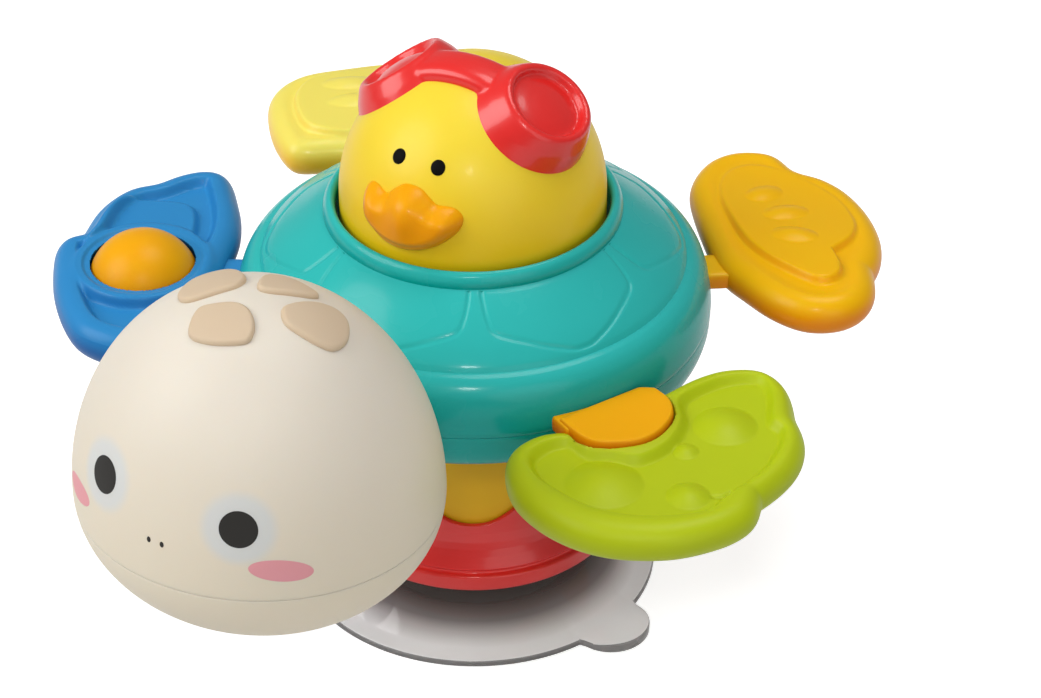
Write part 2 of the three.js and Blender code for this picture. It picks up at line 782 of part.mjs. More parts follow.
// Outlines of the four raised spots as shares of the head's half width, [forward, to its left]
const spotShares = {
  head_spot_right: [
    [0.14, -0.338], [0.04, -0.408], [-0.09, -0.388], [-0.18, -0.258],
    [-0.17, -0.158], [-0.07, -0.078], [0.07, -0.178], [0.15, -0.298],
  ],
  head_spot_rear: [
    [-0.06, 0.022], [-0.17, -0.058], [-0.26, -0.028], [-0.32, 0.082],
    [-0.32, 0.212], [-0.26, 0.242], [-0.14, 0.152],
  ],
  head_spot_front: [
    [0.35, -0.118], [0.25, -0.168], [0.14, -0.128], [0.07, 0.012], [0.09, 0.082],
    [0.18, 0.152], [0.27, 0.162], [0.33, 0.092], [0.36, 0.002],
  ],
  head_spot_left: [
    [0.0, 0.182], [-0.07, 0.162], [-0.17, 0.242], [-0.27, 0.342], [-0.24, 0.432],
    [-0.17, 0.482], [-0.07, 0.492], [0.02, 0.442], [0.06, 0.342],
  ],
};

// A raised patch that follows the head's crown inside a smooth outline
function headSpot(shares) {
  const points = shares.map(([a, b]) => [headDistance + a * head.halfWidth, b * head.halfWidth]);
  const top = head.centreHeight + head.crown + spot.thickness + overrun;
  const column = solid(prism(smoothOutline(points, spotCount), head.centreHeight, top));
  const seam = headSeam + gap / 2;
  const outer = headForm(head.crown, seam, gap + spot.thickness, headSteps);
  return column.intersect(outer).subtract(headForm(head.crown, seam, gap, headSteps));
}

// Limbs, modelled with X out from the spin axis and Y towards the turtle's rear

// The flipper outline starts at the notch nearest the tip. Shares are of its length and its width.
const frontShares = [
  [0.94, 0.103, true], [0.925, 0.21], [0.83, 0.315], [0.69, 0.405],
  [0.49, 0.457, true], [0.37, 0.515], [0.23, 0.53], [0.1, 0.48], [0.03, 0.375], [0.01, 0.25],
  [0, 0.08], [0, -0.08], [0.01, -0.21], [0.0, -0.32], [0.07, -0.41], [0.23, -0.47], [0.43, -0.462],
  [0.62, -0.43], [0.79, -0.36], [0.93, -0.26], [1.01, -0.14], [1.03, -0.02], [1.0, 0.06],
];
const rearShares = [
  [0.87, -0.13, true], [0.93, 0], [0.975, 0.13], [0.95, 0.27], [0.86, 0.41], [0.73, 0.52],
  [0.58, 0.61, true], [0.42, 0.68], [0.24, 0.67], [0.06, 0.62], [-0.05, 0.5], [-0.06, 0.38],
  [-0.02, 0.22], [0.03, 0.06], [0.11, -0.08], [0.22, -0.2], [0.36, -0.29], [0.52, -0.335],
  [0.7, -0.31], [0.83, -0.23],
];
const rightSide = -1;
const leftSide = 1;

// Arm with its eyelet, from the post inside the shell to a stretch inside the flipper
function armSolid(reach, drop = 0) {
  const [bottom, top] = [armBottom - drop, armTop - drop];
  const bar = solid(block(pinDistance, reach, -arm.width / 2, arm.width / 2, bottom, top));
  return union(bar, pinAt(pinDistance, 0, arm.eyelet, bottom, top, roundSmall));
}

function armHole() {
  return pinAt(pinDistance, 0, locatingPin.radius + gap, shellFloor, lipTop);
}

// Shares of the rear flipper: the middle that its face rises to, and the raised ovals with their turns
const rearCentreShares = [0.47, 0.17];
const bumpShares = [[0.37, 0.37], [0.45, 0.235], [0.49, 0.09]];
const bumpTurns = [25, 8, -12];

function rearFlipperSolid(side) {
  const { length, width, plateauRise, plateauInset, bumpLength, bumpHeight } = rearFlipper;
  const outline = shifted(outlineOf(rearShares, length, width, side), flipperRoot);
  const place = ([a, b]) => [flipperRoot + length * a, side * width * b];
  const centre = place(rearCentreShares);
  const rings = [
    ...roundedEdge(armMiddle, flipper.thickness, flipper.edge),
    [plateauInset, flipperTop - plateauRise / 4],
    [plateauInset + plateauRise, flipperTop + plateauRise],
  ];
  const body = solid(plate(outline, centre, rings));
  const bumps = bumpShares.map((share, i) => {
    const bump = ellipsoid(bumpLength / 2, bumpLength / 4, bumpHeight, [0, 0, 0], roundTiny);
    bump.rotateZ(radians(bumpTurns[i] * side)).translate(...place(share), flipperTop + plateauRise);
    return solid(bump);
  });
  return cut(union(body, armSolid(centre[0]), ...bumps), armHole());
}

// The ball flipper's face from its crest inwards, as shares of its edge [inset, drop]
const ballFaceShares = [[1.35, 0.17], [1.7, 0.5], [2.1, 0.5], [2.5, 0.12]];

// The front right flipper is two mouldings that close round the ball
function ballFlipperBody(side) {
  const outline = shifted(outlineOf(frontShares, frontFlipper.length, frontFlipper.width, side), flipperRoot);
  const centre = [flipperRoot + ball.distance, side * ball.offset];
  const rings = [
    ...roundedEdge(armMiddle, flipper.thickness, flipper.edge),
    ...ballFaceShares.map(([a, b]) => [flipper.edge * a, flipperTop - flipper.edge * b]),
  ];
  const body = solid(plate(outline, centre, rings));
  const [low, high] = [flipperBottom - ball.underLip, flipperTop + ball.lipHeight];
  const collar = pinAt(...centre, ball.radius + ball.lipWidth, low, high, roundBall);
  const socket = solid(sphere(ball.radius + ball.clearance, [...centre, ballHeight]));
  return cut(union(body, collar, armSolid(centre[0] - ball.radius)), armHole(), socket);
}

const flipperScrewShares = [[0.24, 0.38], [0.3, -0.34], [0.78, 0.22]];
const flipperScrewSeat = flipperBottom + screw.headHeight + gap;
const flipperPilotTop = armMiddle + flipper.edge / 2;

function flipperScrewPlaces(side) {
  const { length, width } = frontFlipper;
  return flipperScrewShares.map(([a, b]) => [flipperRoot + length * a, side * width * b]);
}

function ballFlipperHalf(side, upper) {
  const body = ballFlipperBody(side);
  const low = armMiddle - flipper.thickness;
  const high = armMiddle + flipper.thickness;
  const reach = frontFlipper.width;
  const split = armMiddle + (upper ? 1 : -1) * (gap / 2);
  const [z0, z1] = upper ? [split, high] : [low, split];
  const near = flipperRoot + (upper ? 0 : gap);
  const half = body.intersect(solid(block(near, flipperRoot + reach, -reach, reach, z0, z1)));
  const tongue = body.intersect(solid(block(0, flipperRoot, -arm.width, arm.width, low, high)));
  const holes = flipperScrewPlaces(side).flatMap(([x, y]) => [
    pinAt(x, y, screwHole, low, flipperPilotTop),
    pinAt(x, y, screwSeat, low, flipperScrewSeat),
  ]);
  return cut(upper ? union(half, tongue) : half, ...holes);
}

// Exponent of the D shape's rounded front, and the share of its depth at which the screws stand
const clipRoundness = 2.4;
const clipScrewShare = 0.42;

// A D shape: straight at the back, rounded at the front
function clipOutline(grow = 0) {
  const half = clip.width / 2 + grow;
  const depth = clip.depth + grow;
  const bend = (value) => Math.sign(value) * Math.abs(value) ** (2 / clipRoundness);
  return Array.from({ length: clipSteps + 1 }, (_, i) => {
    const turn = -Math.PI / 2 + (Math.PI * i) / clipSteps;
    const x = i === 0 || i === clipSteps ? 0 : depth * bend(Math.cos(turn));
    return [clipBack + x, clip.offset + half * bend(Math.sin(turn))];
  });
}

const webTop = clipTop - clip.thickness - gap;
const webBottom = paddleMiddle - paddle.thickness / 2 + clip.lowerThickness + gap;
const clipLowerBottom = webBottom - gap - clip.lowerThickness;
const clipScrewSeat = clipLowerBottom + screw.headHeight + gap;
const clipPilotTop = clipTop - clip.thickness / 2;
const clipScrewPlaces = [rightSide, leftSide].map((side) => [
  clipBack + clip.depth * clipScrewShare,
  clip.offset + (side * clip.width) / 4,
]);

function clipUpper() {
  const top = solid(prism(clipOutline(), clipTop - clip.thickness, clipTop));
  const bosses = clipScrewPlaces.map(([x, y]) => pinAt(x, y, clip.boss, webBottom, clipTop - gap));
  const pilots = clipScrewPlaces.map(([x, y]) => pinAt(x, y, screwHole, webBottom - overrun, clipPilotTop));
  return cut(union(top, armSolid(clipBack + clip.depth / 4, clipArmDrop), ...bosses), armHole(), ...pilots);
}

function clipLower() {
  const body = solid(prism(clipOutline(), clipLowerBottom, webBottom - gap));
  const holes = clipScrewPlaces.flatMap(([x, y]) => [
    pinAt(x, y, screwHole, clipLowerBottom - overrun, webBottom),
    pinAt(x, y, screwSeat, clipLowerBottom - overrun, clipScrewSeat),
  ]);
  return cut(body, ...holes);
}

// Shares of the soft pad: its middle, and the places and radii of its bubbles along its length
const paddleCentreShares = [0.5, 0.03];
const paddleCrestShares = [0.8, 0.2];
const bubbleShares = [[0.37, 0.265, 0.15], [0.42, -0.2, 0.18], [0.44, 0.075, 0.06], [0.72, -0.04, 0.1]];
const bubbleSinkShare = 0.1;
const bubbleRiseShare = 0.42;

function paddleSolid() {
  const outline = shifted(outlineOf(frontShares, paddle.length, paddle.width), flipperRoot);
  const place = ([a, b]) => [flipperRoot + paddle.length * a, paddle.width * b];
  const top = paddleMiddle + paddle.thickness / 2;
  const floor = top - paddle.floorDepth;
  const rings = [
    ...roundedEdge(paddleMiddle, paddle.thickness, paddle.thickness / 2),
    [paddle.rimWidth * paddleCrestShares[0], top - paddle.floorDepth * paddleCrestShares[1]],
    [paddle.rimWidth, floor],
  ];
  const body = solid(plate(outline, place(paddleCentreShares), rings));
  const rim = solid(prism(clipOutline(clip.rim), paddleMiddle, top - gap));
  const bubbles = bubbleShares.map((share) => {
    const size = paddle.length * share[2];
    const centre = [...place(share), floor - size * bubbleSinkShare];
    return solid(ellipsoid(size, size, size * bubbleRiseShare, centre, roundTiny));
  });
  const seatTop = solid(prism(clipOutline(gap), webTop, armTop + overrun));
  const seatBottom = solid(prism(clipOutline(gap), clipLowerBottom - overrun, webBottom));
  const inner = shell.radius - overrun;
  const reach = clip.width / 2 + gap;
  const [low, high] = [clipLowerBottom - overrun, armTop];
  const behind = solid(block(inner, clipBack + gap, clip.offset - reach, clip.offset + reach, low, high));
  const half = arm.width / 2 + gap;
  const slotEnd = clipBack + clip.depth / 4 + gap;
  const armSlot = solid(block(inner, slotEnd, -half, half, armBottom - clipArmDrop - gap, armTop));
  const holes = clipScrewPlaces.map(([x, y]) => pinAt(x, y, clip.boss + gap, low, clipTop));
  return cut(union(body, rim, ...bubbles), seatTop, seatBottom, behind, armSlot, ...holes);
}

// Duck

function duckDome() {
  const bottom = chassisTop + gap;
  const inner = duck.radius - duck.wall;
  const outside = [[duck.radius, bottom], ...quarter(duck.radius, duck.crown, domeCentre, 0, domeSteps)];
  const inside = [[inner, bottom], ...quarter(inner, duck.crown - duck.wall, domeCentre, 0, hollowSteps)];
  const body = solid(revolve([...outside.reverse(), ...inside]));
  const within = domeGrown(-duck.wall / 2);
  const places = angles.duckScrews.map((angle) => angle + facing);
  const bosses = places.map((a) =>
    pinAround(a, chassis.screwDistance, screwBoss, bottom, domeCentre + duck.crown).intersect(within),
  );
  const pilots = places.map((a) =>
    pinAround(a, chassis.screwDistance, screwHole, bottom - overrun, bottom + duck.shoulderHeight),
  );
  return cut(union(body, ...bosses), ...pilots);
}

function duckChassis() {
  const spigot = duck.radius - duck.wall - gap;
  const spigotTop = chassisTop + chassis.spigotHeight;
  const sleeveBottom = chassisBottom - chassis.sleeveDrop;
  const flange = duck.radius + chassis.flange;
  const profile = [
    [sleeveBore, sleeveBottom],
    [sleeveRadius, sleeveBottom],
    [sleeveRadius, chassisBottom],
    [flange, chassisBottom],
    [flange, chassisTop],
    [spigot, chassisTop],
    [spigot, spigotTop],
    [spigot - duck.wall, spigotTop],
    [spigot - duck.wall, chassisTop],
    [sleeveBore, chassisTop],
  ];
  const body = solid(revolve(profile, roundBall));
  const slots = angles.hubKeys.map((a) => {
    const half = hub.keyWidth / 2 + gap;
    const [near, far] = [hubRadius - overrun, sleeveBore + hub.keyHeight];
    return solid(around(block(near, far, -half, half, sleeveBottom - overrun, chassisTop + overrun), a));
  });
  const holes = angles.duckScrews.flatMap((angle) => {
    const a = angle + facing;
    return [
      pinAround(a, chassis.screwDistance, screwHole, chassisBottom - overrun, chassisTop + overrun),
      pinAround(a, chassis.screwDistance, screwBoss + gap, chassisTop, spigotTop + overrun, roundSmall),
    ];
  });
  return cut(body, ...slots, ...holes);
}

// The duck's dome grown by a distance, to seat what it carries
function domeGrown(by) {
  const side = quarter(duck.radius + by, duck.crown + by, domeCentre, 0, domeSteps);
  return solid(revolve([[0, chassisTop], [duck.radius + by, chassisTop], ...side]));
}

// Bill outline as shares of its width and height, from its middle
const beakShares = [
  [0, 0.5], [0.13, 0.46], [0.25, 0.31], [0.38, 0.3], [0.49, 0.14], [0.47, -0.1], [0.32, -0.35], [0.1, -0.49],
  [-0.1, -0.49], [-0.32, -0.35], [-0.47, -0.1], [-0.49, 0.14], [-0.38, 0.3], [-0.25, 0.31], [-0.13, 0.46],
];

const beakEdgeShares = [0, 0.35, 0.7, 1];

function beakSolid() {
  const outline = smoothOutline(beakShares.map(([a, b]) => [a * beak.width, b * beak.height]), beakCount);
  const back = duck.radius / 2;
  const shoulder = duck.radius + beak.proud - beak.edge;
  const rounding = beakEdgeShares.map((share) => [
    beak.edge * (1 - Math.sqrt(1 - share * share)),
    shoulder + beak.edge * share,
  ]);
  const slab = plate(outline, [0, 0], [[beak.edge, back], [0, back], ...rounding]);
  slab.rotateX(Math.PI / 2).translate(0, 0, domeCentre + beak.rise);
  return solid(slab).intersect(domeGrown(beak.proud)).subtract(domeGrown(gap));
}

// A solid turned about the X axis of a goggle pod, put at its place on one side of the crown
function podSolid(profile, side) {
  const geometry = revolve(profile, roundMiddle)
    .rotateY(Math.PI / 2 - radians(podRiseAngle[side]))
    .rotateZ(radians(facing + podAngle[side]))
    .translate(0, 0, domeCentre);
  return solid(geometry);
}

function gogglesSolid() {
  const { podRoot, podBase, podBaseReach, podShoulder, podShoulderReach, podRim, podReach } = goggles;
  const { lens, lensDepth, lensDome, bandSpan, bandFlare, bandDip } = goggles;
  const pod = [
    [0, podRoot],
    [podBase, podRoot],
    [podBase, podBaseReach],
    [podShoulder, podShoulderReach],
    [podRim + lensDepth / 2, podReach - lensDepth / 2],
    [podRim, podReach],
    [0, podReach],
  ];
  const floor = podReach - lensDepth;
  const recess = [
    [0, floor + lensDome],
    [lens / 2, floor + lensDome / 2],
    [lens, floor + lensDepth / 2],
    [lens, podReach + overrun],
    [0, podReach + overrun],
  ];
  const halfWidth = goggles.bandWidth / 2;
  const halfWaist = goggles.bandWaist / 2;
  const band = new THREE.Shape();
  band.moveTo(-bandSpan, -halfWidth - bandFlare);
  band.quadraticCurveTo(-bandSpan / 2, -halfWaist, 0, -halfWaist);
  band.quadraticCurveTo(bandSpan / 2, -halfWaist, bandSpan, -halfWidth - bandFlare);
  band.lineTo(bandSpan, halfWidth);
  band.quadraticCurveTo(0, halfWaist - bandDip, -bandSpan, halfWidth);
  band.closePath();
  const options = { depth: duck.crown, bevelEnabled: false, curveSegments: bandSteps };
  const slab = new THREE.ExtrudeGeometry(band, options);
  slab.translate(0, -goggles.bandForward, domeCentre + goggles.bandRise - goggles.bandThickness);
  const strip = solid(slab).intersect(domeGrown(goggles.bandThickness + gap));
  const sides = Object.keys(podAngle);
  const pods = sides.map((side) => podSolid(pod, side));
  const recesses = sides.map((side) => podSolid(recess, side));
  return cut(union(strip, ...pods), domeGrown(gap), ...recesses);
}

const springSteps = 7;
const wireSteps = 3;

function returnSpring() {
  const bottom = hubDeckTop + gap + spring.wire;
  const top = chassisBottom - gap - spring.wire;
  class Helix extends THREE.Curve {
    getPoint(t, target = new THREE.Vector3()) {
      const turn = 2 * Math.PI * spring.turns * t;
      const x = spring.radius * Math.cos(turn);
      const y = spring.radius * Math.sin(turn);
      return target.set(x, y, bottom + (top - bottom) * t);
    }
  }
  const section = new THREE.Shape();
  section.absarc(0, 0, spring.wire, 0, 2 * Math.PI, false);
  return new THREE.ExtrudeGeometry(section, {
    steps: spring.turns * springSteps,
    curveSegments: wireSteps,
    bevelEnabled: false,
    extrudePath: new Helix(),
  });
}

// Assembly

const base = new THREE.Group();
base.add(piece("suction_cup", suctionCup(), materials.clear));
base.add(piece("base_plate", basePlateSolid(), materials.white));
base.add(piece("base_skirt", baseSkirt(), materials.red));
base.add(piece("base_column", baseColumn(), materials.yellow));
base.add(piece("spindle", spindleSolid(), materials.steel));
const thrustBottom = deckTop + gap;
const thrustTop = thrustBottom + thrustWasher.thickness;
const thrust = tube(spindle.radius + gap, thrustWasher.radius, thrustBottom, thrustTop, roundMiddle);
base.add(piece("thrust_washer", thrust, materials.white));
const washerBottom = bushTop + gap;
const washerTop = washerBottom + topWasher.thickness;
const washer = tube(screwHole, topWasher.radius, washerBottom, washerTop, roundMiddle);
base.add(piece("spindle_washer", washer, materials.steel));
const spindleScrewShape = screwShape(spindle.threadDepth).rotateX(Math.PI);
const spindleScrew = piece("spindle_screw", spindleScrewShape, materials.steel);
spindleScrew.position.z = washerTop + gap + screw.headHeight;
base.add(spindleScrew);
baseScrewAngles.forEach((angle, i) => {
  const place = polar(angle, baseBossDistance);
  const tip = plateTop + column.bossHeight / 2;
  base.add(screwPiece(`base_screw_${i + 1}`, place, plateBottom - gap - screw.headHeight, tip));
});

const turtle = new THREE.Group();
turtle.add(piece("shell_lower", shellLower(), materials.teal));
turtle.add(piece("shell_upper", shellUpper(), materials.teal));
const bushFlange = bushRadius + bush.flangeWall;
const bushProfile = [
  [bushBore, hubDeckBottom],
  [bushRadius, hubDeckBottom],
  [bushRadius, hubTop + gap],
  [bushFlange, hubTop + gap],
  [bushFlange, bushTop],
  [bushBore, bushTop],
];
turtle.add(piece("hub_bush", revolve(bushProfile, roundMiddle), materials.white));
angles.shellScrews.forEach((angle, i) => {
  const place = polar(angle + facing, shellScrewDistance);
  const headBottom = shellFloor + screw.seatDepth - gap - screw.headHeight;
  const tip = parting + shell.tongueHeight + screw.seatDepth;
  turtle.add(screwPiece(`shell_screw_${i + 1}`, place, headBottom, tip));
});

const headGroup = new THREE.Group();
headGroup.rotation.z = radians(facing);
headGroup.add(piece("neck", neckSolid(), materials.cream));
headGroup.add(piece("head_upper", headUpper(), materials.cream));
headGroup.add(piece("head_lower", headLower(), materials.cream));
for (const [name, shares] of Object.entries(spotShares)) {
  headGroup.add(piece(name, headSpot(shares), materials.tan));
}
headBosses.forEach((y, i) => {
  const headBottom = headScrewSeat - gap - screw.headHeight;
  const tip = headScrewSeat - gap + headPilot;
  headGroup.add(screwPiece(`head_screw_${i + 1}`, [headDistance, y], headBottom, tip));
});
turtle.add(headGroup);

const frontRight = new THREE.Group();
frontRight.rotation.z = radians(facing + limbAngle.frontRight);
frontRight.add(piece("ball_flipper_upper", ballFlipperHalf(rightSide, true), materials.blue));
frontRight.add(piece("ball_flipper_lower", ballFlipperHalf(rightSide, false), materials.blue));
flipperScrewPlaces(rightSide).forEach((place, i) => {
  const headBottom = flipperScrewSeat - gap - screw.headHeight;
  frontRight.add(screwPiece(`flipper_screw_${i + 1}`, place, headBottom, flipperPilotTop - gap));
});
const ballCentre = [flipperRoot + ball.distance, rightSide * ball.offset, ballHeight];
frontRight.add(piece("roller_ball", sphere(ball.radius, ballCentre), materials.orange));
turtle.add(frontRight);

const frontLeft = new THREE.Group();
frontLeft.rotation.z = radians(facing + limbAngle.frontLeft);
frontLeft.add(piece("clip_upper", clipUpper(), materials.orange));
frontLeft.add(piece("clip_lower", clipLower(), materials.orange));
frontLeft.add(piece("soft_paddle", paddleSolid(), materials.green));
clipScrewPlaces.forEach((place, i) => {
  const headBottom = clipScrewSeat - gap - screw.headHeight;
  frontLeft.add(screwPiece(`clip_screw_${i + 1}`, place, headBottom, clipPilotTop - gap));
});
turtle.add(frontLeft);

const rearLeft = new THREE.Group();
rearLeft.rotation.z = radians(facing + limbAngle.rearLeft);
rearLeft.add(piece("rear_flipper_left", rearFlipperSolid(leftSide), materials.orange));
turtle.add(rearLeft);
const rearRight = new THREE.Group();
rearRight.rotation.z = radians(facing + limbAngle.rearRight);
rearRight.add(piece("rear_flipper_right", rearFlipperSolid(rightSide), materials.paleYellow));
turtle.add(rearRight);

const duckGroup = new THREE.Group();
duckGroup.add(piece("duck_dome", duckDome(), materials.yellow));
duckGroup.add(piece("duck_chassis", duckChassis(), materials.white));
duckGroup.add(piece("duck_beak", beakSolid(), materials.orange));
duckGroup.add(piece("duck_goggles", gogglesSolid(), materials.red));
angles.duckScrews.forEach((angle, i) => {
  const place = polar(angle + facing, chassis.screwDistance);
  const headBottom = chassisBottom - gap - screw.headHeight;
  duckGroup.add(screwPiece(`duck_screw_${i + 1}`, place, headBottom, domeCentre - gap - gap));
});
const springPiece = piece("return_spring", returnSpring(), materials.steel);

// The whole toy stands with the middle of its outline over the origin
const toy = new THREE.Group();
toy.add(base, turtle, duckGroup, springPiece);
toy.updateMatrixWorld(true);
const bounds = new THREE.Box3().setFromObject(toy, true);
const middle = bounds.getCenter(new THREE.Vector3());
toy.position.set(-middle.x, -middle.y, -bounds.min.z);

const part = new THREE.Group();
part.add(toy);

export default part;
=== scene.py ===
import math
import bpy
import bmesh
import numpy as np
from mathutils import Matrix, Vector


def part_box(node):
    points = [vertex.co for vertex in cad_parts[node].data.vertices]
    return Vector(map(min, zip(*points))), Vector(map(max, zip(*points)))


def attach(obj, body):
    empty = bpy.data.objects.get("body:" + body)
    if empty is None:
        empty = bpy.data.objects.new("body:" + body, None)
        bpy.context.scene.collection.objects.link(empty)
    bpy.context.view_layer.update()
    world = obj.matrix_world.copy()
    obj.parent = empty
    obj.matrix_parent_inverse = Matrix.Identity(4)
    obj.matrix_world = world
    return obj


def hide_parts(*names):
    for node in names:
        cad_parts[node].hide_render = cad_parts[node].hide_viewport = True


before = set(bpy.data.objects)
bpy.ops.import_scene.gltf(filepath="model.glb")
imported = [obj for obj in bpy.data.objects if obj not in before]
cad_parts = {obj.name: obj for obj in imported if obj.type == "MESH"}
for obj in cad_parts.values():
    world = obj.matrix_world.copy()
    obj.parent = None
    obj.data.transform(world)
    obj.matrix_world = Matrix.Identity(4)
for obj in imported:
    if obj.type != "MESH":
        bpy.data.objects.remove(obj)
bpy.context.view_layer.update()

# All places below are in millimetres from the upright axis that the turtle turns on
MM = 0.001
axis_low, axis_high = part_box("spindle")
AXIS = np.array([(axis_low.x + axis_high.x) / 2, (axis_low.y + axis_high.y) / 2, 0]) / MM

# Main sizes, as in the solid model
SHELL_RADIUS = 50.0
SHELL_FLOOR = 57.5
HOLE_RADIUS = 28.5
DUCK_RADIUS = 27.7
DUCK_CENTRE = 96.1
DUCK_CROWN = 28.6
CHASSIS_TOP = 83.4
COLUMN_BOTTOM = 18.4
COLUMN_TOP = 61.5
COLUMN_FOOT_RADIUS = 27.6
COLUMN_TAPER = 4.0
SKIRT_BOTTOM = 14.5
HEAD = np.array([0.0, -85.0, 77.0])
HEAD_SEAM = 75.2
HEAD_RADII = (36.3, 33.86)
HEAD_CROWN = 42.0
HEAD_CHIN = 25.7
ARM_HEIGHT = 72.6
BALL_RADIUS = 11.8
BALL_HEIGHT = ARM_HEIGHT - 1.1
# Direction of each flipper's arm in degrees about the axis
LIMB = {"front_left": -28.5, "front_right": -154.0, "rear_left": 32.0, "rear_right": 141.5}


# Numbers and curves

def smooth(x, low, high):
    """An eased step from 0 at low to 1 at high."""
    t = np.clip((np.asarray(x, float) - low) / (high - low), 0, 1)
    return t * t * (3 - 2 * t)


def spline(points, per=8, closed=False):
    """Points on a smooth curve through the given ones."""
    p = np.asarray(points, float)
    before, after = (p[-1:], p[:2]) if closed else ([2 * p[0] - p[1]], [2 * p[-1] - p[-2]])
    p = np.vstack([before, p, after])
    out = []
    for a, b, c, d in zip(p, p[1:], p[2:], p[3:]):
        for k in range(per):
            t = k / per
            out.append(0.5 * (2 * b + (c - a) * t + (2 * a - 5 * b + 4 * c - d) * t ** 2
                              + (3 * b - a - 3 * c + d) * t ** 3))
    if not closed:
        out.append(p[-2])
    return np.array(out)


def even(path, count):
    """The same closed curve with evenly spaced points."""
    p = np.vstack([path, path[:1]])
    run = np.r_[0, np.cumsum(np.linalg.norm(np.diff(p, axis=0), axis=1))]
    at = np.linspace(0, run[-1], count + 1)[:-1]
    return np.column_stack([np.interp(at, run, v) for v in p.T])


def creased(points, count, rounds=26):
    """A closed outline that is smooth but for the points marked with a third value: 1 keeps its corner,
    2 is eased."""
    marks = [i for i, q in enumerate(points) if len(q) > 2]
    p = [q[:2] for q in points]
    parts = []
    for k, start in enumerate(marks):
        end = marks[k + 1] if k + 1 < len(marks) else marks[0] + len(p)
        parts.append(spline([p[i % len(p)] for i in range(start, end + 1)], 16)[:-1])
    path = even(np.vstack(parts) if parts else spline(p, 16, True), count)
    held = np.zeros(count, bool)
    for i in marks:
        if points[i][2] == 1:
            held[np.argmin(np.hypot(*(path - np.array(p[i])).T))] = True
    for _ in range(rounds):
        eased = path * 0.5 + (np.roll(path, 1, 0) + np.roll(path, -1, 0)) * 0.25
        path = np.where(held[:, None], path, eased)
    return path


def rounded(points, radii, steps):
    """An open profile with its corners rounded, each by its own radius."""
    p = [np.array(q, float) for q in points]
    out = [p[0]]
    for i in range(1, len(p) - 1):
        before, after = p[i - 1] - p[i], p[i + 1] - p[i]
        la, lb = np.linalg.norm(before), np.linalg.norm(after)
        reach = min(radii[i], la * 0.48, lb * 0.48)
        if reach < 0.02:
            out.append(p[i])
            continue
        a, b = p[i] + before / la * reach, p[i] + after / lb * reach
        for t in np.linspace(0, 1, steps + 1):
            out.append((1 - t) ** 2 * a + 2 * t * (1 - t) * p[i] + t * t * b)
    out.append(p[-1])
    return np.array(out)


def arc(across, tall, start, end, count, middle=0.0):
    """A profile along an ellipse, between two angles above its middle."""
    return [(across * math.cos(a), middle + tall * math.sin(a)) for a in np.linspace(start, end, count)]


def tangents(normal):
    """The unit normal, with a level and a rising direction square to it."""
    n = normal / np.linalg.norm(normal)
    side = np.cross([0, 0, 1], n)
    side /= np.linalg.norm(side)
    return n, side, np.cross(n, side)


def distance(xy, path, closed=True):
    """Distance from each point to a line of points."""
    a = np.asarray(path, float)
    b = np.roll(a, -1, axis=0) if closed else a[1:]
    a = a if closed else a[:-1]
    best = np.full(len(xy), 1e9)
    for start in range(0, len(xy), 4000):
        q = xy[start:start + 4000, None, :]
        ab = (b - a)[None]
        t = np.clip(((q - a) * ab).sum(2) / np.maximum((ab ** 2).sum(2), 1e-12), 0, 1)
        best[start:start + 4000] = np.sqrt(((q - a - t[..., None] * ab) ** 2).sum(2).min(1))
    return best


def inside(xy, path):
    """True where a point lies within a closed outline."""
    x, y = xy[:, 0], xy[:, 1]
    hit = np.zeros(len(xy), bool)
    for (x0, y0), (x1, y1) in zip(path, np.roll(path, -1, axis=0)):
        crosses = (y0 > y) != (y1 > y)
        with np.errstate(divide="ignore", invalid="ignore"):
            hit ^= crosses & (x < (x1 - x0) * (y - y0) / (y1 - y0) + x0)
    return hit


def depth_in(xy, path):
    """Distance to a closed outline, positive within it."""
    d = distance(xy, path)
    return np.where(inside(xy, path), d, -d)


# Meshes

def placed(name, data):
    """A new object in the scene."""
    obj = bpy.data.objects.new(name, data)
    bpy.context.scene.collection.objects.link(obj)
    return obj


def made(name, points, faces, material, body, slot, nodes=(), sharp=60):
    """A piece that rides on a body and stands for the given nodes; edges above sharp degrees stay hard."""
    mesh = bpy.data.meshes.new(name)
    mesh.from_pydata(((np.asarray(points, float) + AXIS) * MM).tolist(), [], faces)
    work = bmesh.new()
    work.from_mesh(mesh)
    bmesh.ops.recalc_face_normals(work, faces=work.faces)
    work.to_mesh(mesh)
    work.free()
    mesh.polygons.foreach_set("use_smooth", [True] * len(mesh.polygons))
    mesh.set_sharp_from_angle(angle=math.radians(sharp))
    mesh.materials.append(material)
    piece = placed(name, mesh)
    if nodes:
        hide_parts(*nodes)
    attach(piece, body)
    return piece


def lathe(profile, segments=192):
    """Points and faces of a profile of (radius, height) turned about Z, closed on itself or on the axis."""
    turn = np.arange(segments) * 2 * math.pi / segments
    points, starts, faces = [], [], []
    for r, z in profile:
        n = segments if r else 1
        starts.append((sum(map(len, points)), n))
        points.append(np.column_stack([r * np.cos(turn[:n]), r * np.sin(turn[:n]), np.full(n, z)]))
    pairs = list(zip(starts[:-1], starts[1:]))
    if starts[0][1] > 1:
        pairs.append((starts[-1], starts[0]))
    for (a, na), (b, nb) in pairs:
        for i in range(segments):
            j = (i + 1) % segments
            if na == 1:
                faces.append((a, b + i, b + j))
            elif nb == 1:
                faces.append((a + i, a + j, b))
            else:
                faces.append((a + i, a + j, b + j, b + i))
    return np.vstack(points), faces


def turned(points, degrees):
    """Points turned about Z."""
    a = math.radians(degrees)
    x, y, z = points.T
    return np.column_stack([x * math.cos(a) - y * math.sin(a), x * math.sin(a) + y * math.cos(a), z])


def flat(xy, d):
    """The plain face of a plate."""
    return 0 * d


